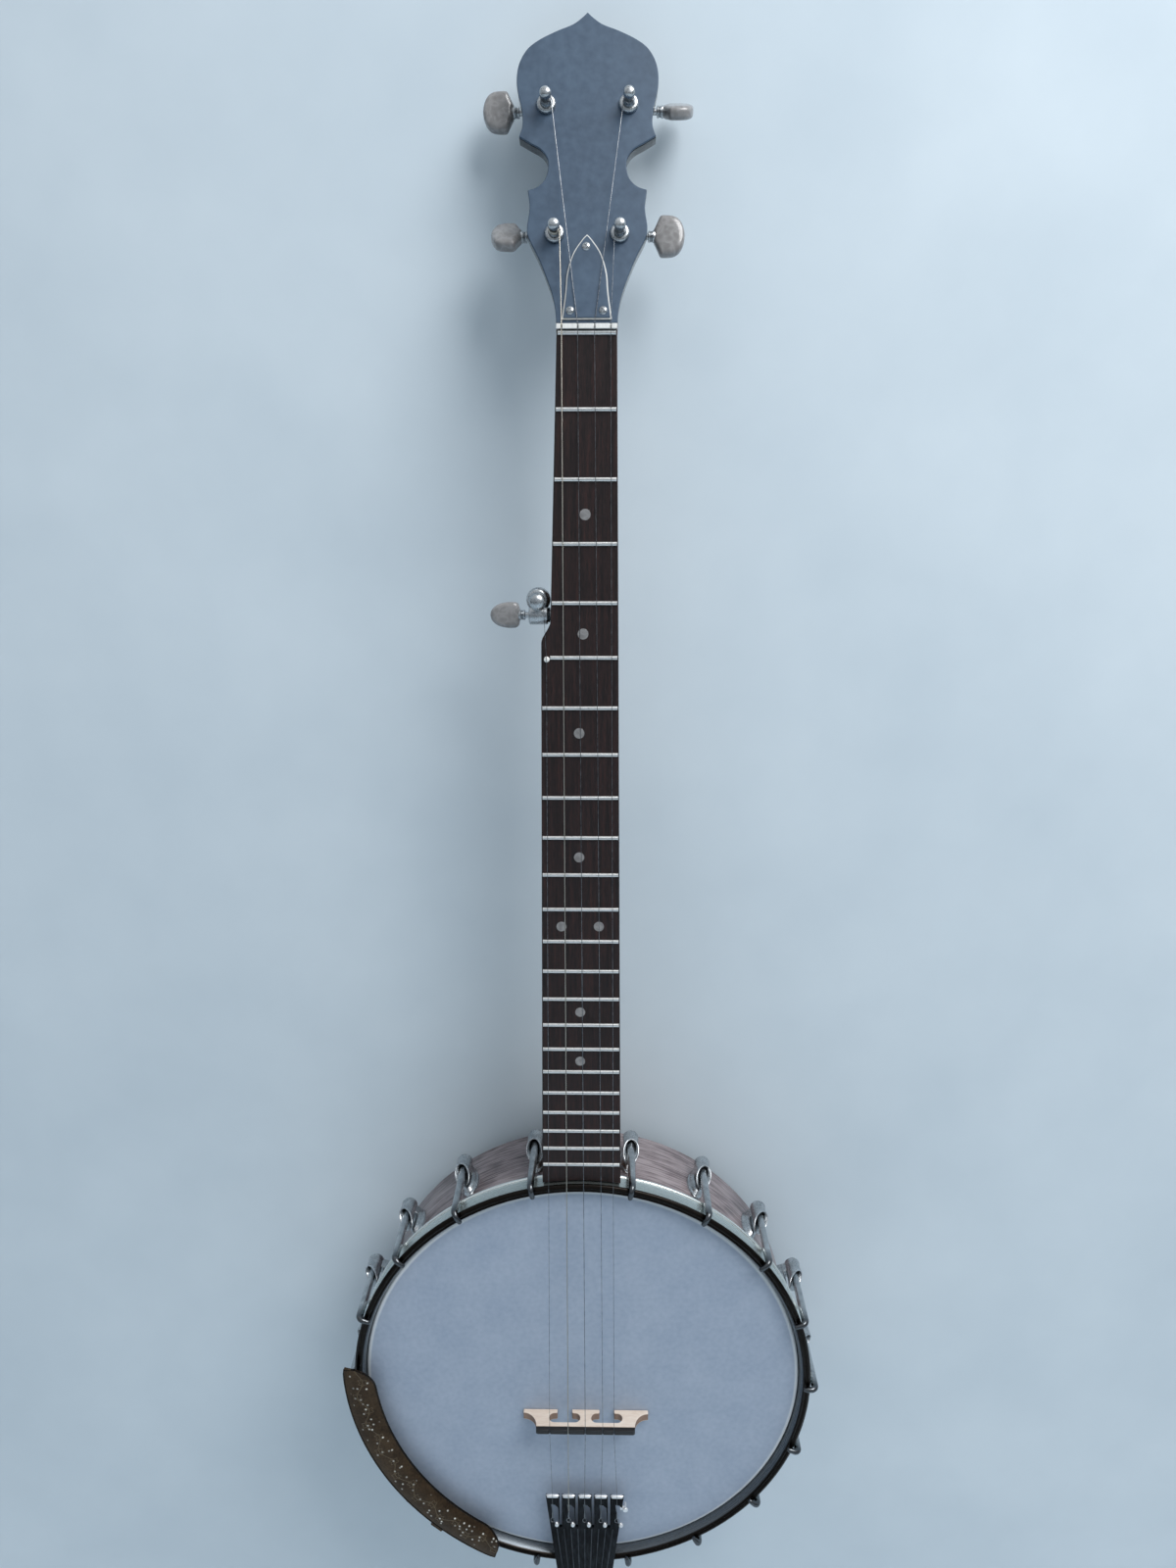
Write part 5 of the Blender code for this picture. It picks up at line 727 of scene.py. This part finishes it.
# Each hollow opens into the one before it or to the outside, so that the case's inner skin keeps facing inwards.
hollows = [turned([(0, 5), (3.15, 5), (3.15, 9), (0, 9)], 32),
           turned([(0, 8.15), (5.78, 8.15), (5.78, 11.85), (0, 11.85)], 48),
           turned([(0, 11), (1.65, 11), (1.65, 14), (0, 14)], 24)]
hollows += placed([turned([(0, -6.1), (1.75, -6.1), (1.75, 9), (0, 9)], 24, "X"),
                   turned([(0, -3.88), (4.4, -3.88), (4.4, 3.88), (0, 3.88)], 48, "X")], to_worm)
for hollow in hollows:
    carve(case, FIFTH, hollow)
fifth_post = turned([(0, -9.0), (1.6, -8.85), (3.0, -8.3), (4.1, -7.2), (4.65, -5.9), (4.7, -4.6), (4.4, -4.1),
                     (3.6, -3.7), (3.1, -3.0), (3.05, 2.2), (3.4, 3.0), (3.4, 5.2), (3.0, 5.9), (3.0, 8.9),
                     (1.5, 8.9), (1.5, 12.7), (0, 12.7)], 40)
piece("fifth_tuner_string_post", [fifth_post], FIFTH, NICKEL, "fifth_tuner_post", ["fifth_tuner_post"])
piece("fifth_tuner_gear", [gear(13, 3.5, FIFTH_DEPTH)], FIFTH, BRASS, "fifth_tuner_post")
HALF_ROUND = [(0, 0.0), (0, 0.42), (0.03, 0.74), (0.10, 0.93), (0.22, 1.0), (0.45, 0.98), (0.68, 0.86), (0.85, 0.64),
              (0.96, 0.34), (1.0, 0.0)]
piece("fifth_tuner_pearl_knob", [moved(button(10.3, 16.6, 14.4, HALF_ROUND), to_worm)], FIFTH, PEARL,
      "fifth_tuner_button", ["fifth_tuner_button"])
piece("fifth_tuner_worm_shaft", placed([worm(3.5, 5.6, 9.4), collar(10.3, 3.1)], to_worm), FIFTH, NICKEL,
      "fifth_tuner_button")

# Bridge: a maple plate on three feet, cut through by two round-ended openings, with a thin ebony cap. It
# tapers towards the top and stands free on the head, held by the strings.

BRIDGE_X = 2.4
BRIDGE_HEIGHT = 15.9
BRIDGE = POT @ shift(BRIDGE_X, 0, -27.8)
STRING_AT_BRIDGE = {"fifth": -20.8, "fourth": -8.8, "third": 2.3, "second": 13.6, "first": 20.9}
BRIDGE_MAPLE = finish("bare maple", "bridge_maple", ("D3BFAE", "DFCFC0", "E7DBCF"), 4, (8, 1, 1), (0.5, 0.62), 0.03)
# The sawn walls of its openings are darker, partly end grain and partly painted shade, as they face down and
# inward: they lie between its two broad faces, which lean together.
tree = BRIDGE_MAPLE.node_tree
centred = tap(tree, "Mapping", {"Vector": add(tree, "TexCoord", {}).outputs["Object"],
                                "Location": (-BRIDGE[:3, 3] * MM).tolist()})
parts = add(tree, "SeparateXYZ", {"Vector": centred}).outputs
away = maths(tree, "ABSOLUTE", parts["Z"])
reach = maths(tree, "MULTIPLY_ADD", parts["Y"], -1.2 / BRIDGE_HEIGHT, away)
tint(tree, remap(tree, reach, 2.7 * MM, 2.3 * MM), "8E7464")
EBONY = finish("ebony", "ebony", ("0E0D0D", "191615", "231E1C"), 3, (10, 1, 1), (0.35, 0.5), 0.03)


def upright(outline):
    """Skin of an (x, height) outline, as deep as the bridge is at each height."""
    outline = np.array(outline, float)
    half = (5.8 - 2.4 * outline[:, 1] / BRIDGE_HEIGHT) / 2
    rows = [np.stack([outline[:, 0], -outline[:, 1], side * half], 1) for side in (-1, 1)]
    return skin(np.stack(rows), True)


hollow = np.linspace(0, pi / 2, 12)
bridge_side = np.stack([41.0 - 8.9 * np.sin(hollow), 3.0 + 9.9 * (1 - np.cos(hollow))], 1)
opening_turn = np.linspace(-0.5 * pi, 0.5 * pi, 12)
right_end = np.stack([20.55 + 3.45 * np.cos(opening_turn), 6.45 + 3.45 * np.sin(opening_turn)], 1)
left_end = np.stack([7.05 - 3.45 * np.cos(opening_turn), 6.45 - 3.45 * np.sin(opening_turn)], 1)
opening = np.concatenate([[(18.6, 0.3), (18.6, 2.4), (19.2, 3.0)], right_end, left_end,
                          [(8.4, 3.0), (9.0, 2.4), (9.0, 0.3)]])
bridge_half = np.concatenate([opening[::-1], [(41.0, 0.3)], bridge_side])
bridge_outline = np.concatenate([bridge_half, (bridge_half * (-1, 1))[::-1]])
piece("bridge_plate", [upright(bridge_outline)], BRIDGE, BRIDGE_MAPLE, stands_for=["bridge_base"], soft=0.3)
saddle_notch = np.array([(-0.5, BRIDGE_HEIGHT), (-0.4, 15.3), (-0.2, 15.12), (0.2, 15.12), (0.4, 15.3),
                         (0.5, BRIDGE_HEIGHT)])
saddle_top = np.concatenate([saddle_notch + (x - BRIDGE_X, 0) for x in STRING_AT_BRIDGE.values()])
saddle_outline = np.concatenate([[(-32.1, 13.2), (-32.1, 15.0), (-31.0, BRIDGE_HEIGHT)], saddle_top,
                                 [(31.0, BRIDGE_HEIGHT), (32.1, 15.0), (32.1, 13.2)]])
piece("bridge_cap", [upright(saddle_outline)], BRIDGE, EBONY, stands_for=["bridge_saddle"], soft=0.2)

# Tailpiece: a fan-shaped plate stamped from brass and plated. Its front is sawn into five fingers with rolled
# ends, each with a window and a hook for a string's loop; its leg bends down over the hoop to the rim.

TAIL_FRONT = 88.0
TAIL_END = 152.8
TAIL_TOP = -8.6
TAIL_X = 1.7
ROD_DEPTH = 46.0        # the coordinator rod's stud comes through the leg
TAIL = POT @ shift(TAIL_X, 0, 0)
# The plate and its ribs are painted near black, a painted reflection of the dark room; the rolled lips, hooks and
# side screw near white, a painted highlight on edges that catch the light.
REFLECTION_DARKENED_PLATE = finish("chrome plate, painted dark reflection", "chrome_plate", ("101112", "1A1B1D", "2A2C2F"), 14, (1, 1, 3),
                     (0.1, 0.24), 0.03, Metallic=0.95)
CHROME = finish("bright chrome plate", "chrome_plate", ("E2E4E6", "EEF0F1", "F8F9FA"), 6, roughness=(0.3, 0.42),
                Metallic=0.75)


def tail_half(below):
    return 26.1 - 5.5 * (below - TAIL_FRONT) / 60.3


plate_outline = [(-tail_half(TAIL_FRONT), -TAIL_FRONT), (tail_half(TAIL_FRONT), -TAIL_FRONT),
                 (tail_half(TAIL_END) - 1.5, -TAIL_END), (-tail_half(TAIL_END) + 1.5, -TAIL_END)]
tail = piece("tailpiece_plate", [prism(plate_outline, TAIL_TOP, TAIL_TOP + 2.0)], TAIL, REFLECTION_DARKENED_PLATE,
             stands_for=["tailpiece"])
leg_section = [(-TAIL_END, -8.2), (-TAIL_END, 11.5), (-141.8, 23.5), (-141.8, 58), (-140, 58), (-140, 22.9),
               (-151.0, 10.9), (-151.0, -8.2)]
carve(tail, TAIL, prism(leg_section, -9.0, 9.0, "ZYX"), operation="UNION")
carve(tail, POT, turned([(0, 11), (140.0, 11), (140.0, 60), (0, 60)], 160))
stud_hole = turned([(0, 130), (3.2, 130), (3.2, 150), (0, 150)], 32, "Z")
carve(tail, POT, moved(stud_hole, shift(0, ROD_DEPTH, 0) @ spin(180, "X")))
FINGERS = (np.arange(5) - 2) * 10.8
slit = block((-0.8, -12, -TAIL_FRONT - 26.0), (0.8, 0, -TAIL_FRONT + 2))
carve(tail, TAIL, *[moved(slit, shift(x, 0, 0)) for x in FINGERS[:-1] + 5.4])
window = np.array([(-1.2, -94.8), (1.6, -95.4), (3.6, -97.6), (4.4, -112.0), (1.0, -112.6), (0.2, -107.0),
                   (-0.4, -101.0)])
carve(tail, TAIL, *[prism(window + (x, 0), -12, 0) for x in FINGERS])
soften(tail, 0.4)
roll = np.linspace(-4.3, 4.3, 9)
roll_path = np.stack([roll, 0 * roll - 7.7, 0 * roll - TAIL_FRONT - 0.6], 1)
roll_radius = 1.25 * np.sqrt(np.clip(1 - (np.abs(roll) / 4.6) ** 6, 0.2, 1))
lip = tube(roll_path, roll_radius, (0, 1, 0), 20)
tab_path = smooth([(2.6, -7.0, -113.2), (2.7, -8.6, -111.9), (2.8, -9.6, -110.3), (2.4, -9.6, -108.6)], 4)
tab = tube(tab_path, [1.5] * 9 + [1.3, 1.0, 0.7, 0.4], (1, 0, 0), 12)
details = [moved(part, shift(x, 0, 0)) for x in FINGERS for part in (lip, tab)]
piece("tailpiece_lips_and_hooks", details, TAIL, CHROME)
fan = np.linspace(-1, 1, 11)[1:-1]
ribs = [tube([(a * 23.5, TAIL_TOP + 0.2, -115.0), (a * 21.0, TAIL_TOP + 0.1, -134.0),
              (a * 18.6, TAIL_TOP + 0.2, -151.0)], [0.45, 0.38, 0.3], (0, 1, 0), 8) for a in fan.tolist()]
REFLECTION_DARKENED_RIBS = finish("chrome, painted dark reflection on the ribs", "chrome_plate", ("2B2D30", "424549", "5A5D61"), 9, (1, 1, 6), (0.1, 0.25),
                    Metallic=1.0)
piece("tailpiece_ribs", ribs, TAIL, REFLECTION_DARKENED_RIBS)
arm_x = tail_half(98)
arm = block((arm_x - 1.5, TAIL_TOP + 0.3, -99.2), (arm_x + 2.4, TAIL_TOP + 1.7, -96.8))
side_screw = turned([(0, -1.4), (1.2, -1.4), (1.7, -1.0), (1.7, 0.2), (0.8, 0.3), (0.8, 5.0), (0, 5.0)], 24)
piece("tailpiece_side_screw", [arm, moved(side_screw, shift(arm_x + 2.0, TAIL_TOP, -98.0))], TAIL, CHROME, soft=0.15)

# Coordinator rod: a steel bar across the pot that holds the neck to it, with a stud through each wall of the
# rim and a domed hexagonal nut below the tailpiece's leg.

ROD = POT @ shift(0, ROD_DEPTH, 0)
rod_profile = [(0, 161.7), (2.9, 161.7), (2.9, 125.3), (4.2, 125.3), (4.8, 124.6), (4.8, -124.6), (4.2, -125.3),
               (2.9, -125.3), (2.9, -148.1), (0, -148.1)]
piece("coordinator_bar", [turned(rod_profile, 40, "Z")], ROD, STEEL, stands_for=["coordinator_rod"])
end_nut = hexagon([(3.2, -142.1), (4.9, -142.1), (5.5, -142.7), (5.5, -147.0), (4.6, -147.6), (3.2, -147.6)], "Z")
dome = turned([(0, -147.4), (4.3, -147.4), (4.3, -148.6), (3.6, -150.0), (2.2, -150.9), (0, -151.1)], 32, "Z")
piece("coordinator_bar_nut", [end_nut, dome], ROD, NICKEL, stands_for=["coordinator_rod_nut"])

# Armrest: a plate pressed from brass sheet and bronzed, bent to a wider circle than the hoop's and raised above
# it, with a rolled edge. Two clamps reach from under it round the hoop.

BRONZE = finish("antique bronze plate", "armrest_bronze", ("30241A", "433425", "53412F"), 12, roughness=(0.28, 0.42),
                Metallic=0.8)
# Engraved along the middle is a plain scroll: a wavy stem, a six-petalled rosette at each bend, and beads left
# standing between them. It reads the place along and across the plate in mm.
REST_MIDDLE = 129.0     # degrees round from the neck, where the plate comes closest to the pot's axis
REST_START, REST_END = 84.0, 156.5
REST_INNER, REST_WIDTH, REST_RISE = 129.0, 18.7, 23.0
tree = BRONZE.node_tree
turn, depth, radius = around_pot(tree, add(tree, "TexCoord", {}).outputs["Object"])


def step(operation, *values):
    return maths(tree, operation, *values)


def below(value, limit, soft):
    """One where the value is below the limit, zero above it."""
    return remap(tree, value, limit - soft, limit + soft, 1.0, 0.0)


lean = step("COSINE", step("ADD", turn, radians(REST_MIDDLE)))
middle_radius = step("MULTIPLY_ADD", lean, REST_RISE, -REST_RISE - (REST_INNER + REST_WIDTH / 2))
across = step("MULTIPLY_ADD", radius, 1 / MM, middle_radius)
along = step("MULTIPLY", turn, -140.0)
from_stem = step("SUBTRACT", across, step("MULTIPLY", step("SINE", step("MULTIPLY", along, tau / 22)), 2.6))
from_bend = step("MULTIPLY_ADD", step("FRACT", step("DIVIDE", along, 11.0)), 11.0, -5.5)
reach = step("SQRT", step("ADD", step("MULTIPLY", from_stem, from_stem), step("MULTIPLY", from_bend, from_bend)))
petals = step("MULTIPLY_ADD", step("COSINE", step("MULTIPLY", step("ARCTAN2", from_stem, from_bend), 6.0)), 0.6, 2.4)
petal_line = below(step("ABSOLUTE", step("SUBTRACT", reach, petals)), 0.3, 0.15)
stem = below(step("ABSOLUTE", from_stem), 0.3, 0.15)
flat = tap(tree, "CombineXYZ", {"X": along, "Y": across})
cells = add(tree, "TexVoronoi", {"Vector": flat, "Scale": 0.25}, voronoi_dimensions="2D").outputs
random = add(tree, "SeparateColor", {"Color": cells["Color"]}).outputs
chosen = step("MULTIPLY", step("GREATER_THAN", random[0], 0.55), step("MULTIPLY_ADD", random[1], 0.7, 0.3))
bead = step("MULTIPLY", below(cells["Distance"], 0.15, 0.05), chosen)
field = below(step("ABSOLUTE", across), 6.0, 0.6)
lines = step("MULTIPLY", step("MAXIMUM", petal_line, stem), field)
bead_relief_and_glints = step("MULTIPLY", bead, field)
tint(tree, step("MULTIPLY", lines, 0.35), "8E7A5E")
# Painted highlight: the raised beads are painted near white and less metallic for the glints of light on them.
tint(tree, bead_relief_and_glints, "F4EEE2")
relief = step("ADD", step("MULTIPLY", lines, -0.6), bead_relief_and_glints)
dress(tree, Metallic=step("MULTIPLY_ADD", bead_relief_and_glints, -0.5, 0.8), Normal=raised(tree, relief, 0.7, 0.25))
sweep = np.linspace(0, 1, 120)
rest_angle = REST_START + (REST_END - REST_START) * sweep
grow = REST_RISE * (1 - np.cos(np.radians(rest_angle - REST_MIDDLE)))
near_end = np.minimum(rest_angle - REST_START, REST_END - rest_angle)
round_in = 1 - np.sqrt(1 - (1 - np.clip(near_end / 7.0, 0, 1)) ** 2)
round_out = 1 - np.sqrt(1 - (1 - np.clip(near_end / 2.5, 0, 1)) ** 2)
rest_inner = REST_INNER + grow + 0.6 * REST_WIDTH * round_in
rest_outer = REST_INNER + REST_WIDTH + grow
rest_outer = rest_outer - 0.1 * (rest_outer - rest_inner) * round_out
share = np.linspace(0, 1, 13)[None]
rest_radius = rest_inner[:, None] + (rest_outer - rest_inner)[:, None] * share
true_share = (rest_radius - (REST_INNER + grow)[:, None]) / REST_WIDTH
rest_top = -12.2 + 3.4 * np.clip(1 - true_share / 0.4, 0, 1) ** 2 + 0.9 * np.clip((true_share - 0.6) / 0.4, 0, 1) ** 2
both_radius = np.concatenate([rest_radius, rest_radius[:, ::-1]], 1)
both_height = np.concatenate([rest_top, rest_top[:, ::-1] + 1.3], 1)
rest_turn = np.radians(-rest_angle)[:, None]
rest_skin = np.stack([both_radius * np.sin(rest_turn), both_height, both_radius * np.cos(rest_turn)], -1)
clamp_section = [(140.7, -11.4), (150.2, -11.4), (150.2, 11.4), (144.8, 11.4), (144.8, 9.8), (148.6, 9.8),
                 (148.6, -9.8), (140.7, -9.8)]
clamps = [moved(prism(clamp_section, -4.5, 4.5, "ZYX"), spin(-angle)) for angle in (100.0, 139.0)]
piece("armrest_plate", [skin(rest_skin, True)] + clamps, POT, BRONZE, stands_for=["armrest"], soft=0.35)
rim_line = np.concatenate([rest_skin[:, 0], rest_skin[::-1, 12]])[::2]
edge = rim_line + (0, 0.35, 0)
DARK_BRONZE = finish("dark bronze", "armrest_bronze", ("191410", "241D17", "332A22"), 8, roughness=(0.2, 0.32),
                     Metallic=0.85)
piece("armrest_rolled_edge", [tube(np.concatenate([edge, edge[:1]]), 0.7, (0, 1, 0), 10)], POT, DARK_BRONZE)

# Strings: plain steel wire, the fourth wound with bronze. Each is wound on its post, crosses nut or pip and
# bridge, and ends in a twisted loop over a hook of the tailpiece.

PLAIN = finish("plain string steel", "string_steel", ("595C60", "7E8185", "9EA1A4"), 2, (1, 1, 20), (0.2, 0.35),
               Metallic=1.0)
WOUND, tree, place = blank("bronze-wound string", "string_steel")
height = add(tree, "SeparateXYZ", {"Vector": place}).outputs["Z"]
wave = maths(tree, "SINE", maths(tree, "MULTIPLY", height, tau / (0.45 * MM)))
wrap_height_and_groove_shade = remap(tree, wave, -1.0)
# Painted shade and highlight: the grooves between the wraps are painted dark and their crests pale, over a matching
# bump.
tone = tap(tree, "ValToRGB", {"Fac": wrap_height_and_groove_shade}, [(0.0, "6D6659"), (0.5, "B5AFA3"), (1.0, "DAD6CD")])
dress(tree, Base_Color=tone, Normal=raised(tree, wrap_height_and_groove_shade, 0.5, 0.08), Metallic=1.0, Roughness=0.28)
for number, (name, radius) in enumerate(STRING_RADIUS.items()):
    if name == "fifth":
        post_frame, coil_radius, leave, inward = FIFTH, 3.05 + radius, -2.0 - radius - 0.4, -1
        rests = [NECK @ np.array([PIP_X, -2.05 - radius, PIP_Z, 1])]
    else:
        x, z, side, tilt = TUNERS[name]
        post_frame, coil_radius, leave, inward = FACE @ shift(x, 0, z), POST_WAIST + radius, -4.6, -side
        x = STRING_AT_NUT[name]
        rests = [NECK @ np.array([x, -1.15 - radius, z, 1]) for z in (4.0, 3.0, 2.0, 0.0)]
    start = post_frame @ np.array([inward * coil_radius, leave, 0, 1])
    x = TAIL_X + FINGERS[number]
    top = 15.1 + radius
    ends = [POT @ np.array([*p, 1]) for p in (
        (STRING_AT_BRIDGE[name], -top, -26.1), (STRING_AT_BRIDGE[name], -top, -29.5),
        (x, -9.1 - radius, -TAIL_FRONT + 0.6), (x, -9.2 - radius, -TAIL_FRONT - 0.8), (x, -8.9, -101.0),
        (x, -8.9, -104.2))]
    path = np.stack([start, *rests, *ends])[:, :3]
    metal = WOUND if name == "fourth" else PLAIN
    piece(f"{name}_string_wire", [tube(path, radius, (1, 0, 0), 10)], np.eye(4), metal, stands_for=[f"{name}_string"])
    winding = moved(coil(coil_radius, radius, leave, leave - 2.2 * radius * 4, 4), spin(90 * inward))
    piece(f"{name}_string_winding", [winding], post_frame, metal, f"{name}_tuner_post")
    ring_turn = np.linspace(0, tau, 25)
    loop = np.stack([1.35 * np.sin(ring_turn), 0 * ring_turn, 1.7 * np.cos(ring_turn)], 1)
    twist = tube([(0, -0.3, 8.5), (0, -0.2, 6.0), (0, -0.1, 3.6), (0, 0, 1.8)], [radius * 1.4, 0.42, 0.5, 0.4],
                 (1, 0, 0), 10)
    parts = placed([tube(loop, max(radius, 0.2), (0, 1, 0), 8), twist], shift(x, -8.6, -108.0))
    piece(f"{name}_string_loop", parts, POT, PLAIN)

# Studio: a pale grey-blue wall close behind the object and a floor below it, a soft sky that is brighter above,
# one broad lamp from the upper right, and the camera at the photo's viewing angle.

WALL, tree, place = blank("painted wall", "head_film")
plaster = tap(tree, "TexNoise", {"Vector": place, "Scale": 9.0, "Detail": 5.0})
tone = tap(tree, "ValToRGB", {"Fac": plaster}, [(0.3, "CCD9E2"), (0.7, "D6E2EA")])
dress(tree, Base_Color=tone, Roughness=0.9)
back = add(tree, "NewGeometry", {}).outputs["Backfacing"]
clear = tap(tree, "BsdfTransparent", {})
seen = tap(tree, "MixShader", {0: back, 1: tree.nodes["Principled BSDF"].outputs[0], 2: clear})
tree.links.new(seen, tree.nodes["Material Output"].inputs["Surface"])
WALL_Y, FLOOR_Z = 0.052, -1.3
for name, corners in (("wall", [(-3, WALL_Y, FLOOR_Z), (3, WALL_Y, FLOOR_Z), (3, WALL_Y, 2.2), (-3, WALL_Y, 2.2)]),
                      ("floor", [(-3, -3, FLOOR_Z), (3, -3, FLOOR_Z), (3, WALL_Y, FLOOR_Z), (-3, WALL_Y, FLOOR_Z)])):
    mesh = bpy.data.meshes.new(name)
    mesh.from_pydata(corners, [], [(0, 1, 2, 3)])
    mesh.materials.append(WALL)
    surface = bpy.data.objects.new(name, mesh)
    bpy.context.scene.collection.objects.link(surface)

world = bpy.data.worlds.new("studio")
bpy.context.scene.world = world
world.use_nodes = True
sky = world.node_tree
up = add(sky, "SeparateXYZ", {"Vector": add(sky, "TexCoord", {}).outputs["Generated"]}).outputs["Z"]
level = remap(sky, up, -1.0)
shades = tap(sky, "ValToRGB", {"Fac": level}, [(0.0, "66676A"), (0.45, "92999F"), (0.7, "CAD3DB"), (1.0, "F6FAFE")])
sky.links.new(shades, sky.nodes["Background"].inputs["Color"])
sky.nodes["Background"].inputs["Strength"].default_value = 0.75

lamp_data = bpy.data.lights.new("key", "AREA")
lamp_data.shape = "DISK"
lamp_data.size = 1.2
lamp_data.energy = 29.0
lamp = bpy.data.objects.new("key", lamp_data)
lamp.location = (0.85, -0.75, 1.15)
lamp.rotation_euler = (radians(38), 0, radians(45))
bpy.context.scene.collection.objects.link(lamp)

camera = bpy.data.objects.new("camera", bpy.data.cameras.new("camera"))
camera.location = (0.01433, -0.61399, -0.10525)
camera.rotation_euler = (radians(75.017), radians(0.0725), radians(0.9571))
camera.data.sensor_width = 36.0
camera.data.lens = 24.9
camera.data.clip_start = 0.01
bpy.context.scene.collection.objects.link(camera)
bpy.context.scene.camera = camera
bpy.context.scene.view_settings.view_transform = "Standard"
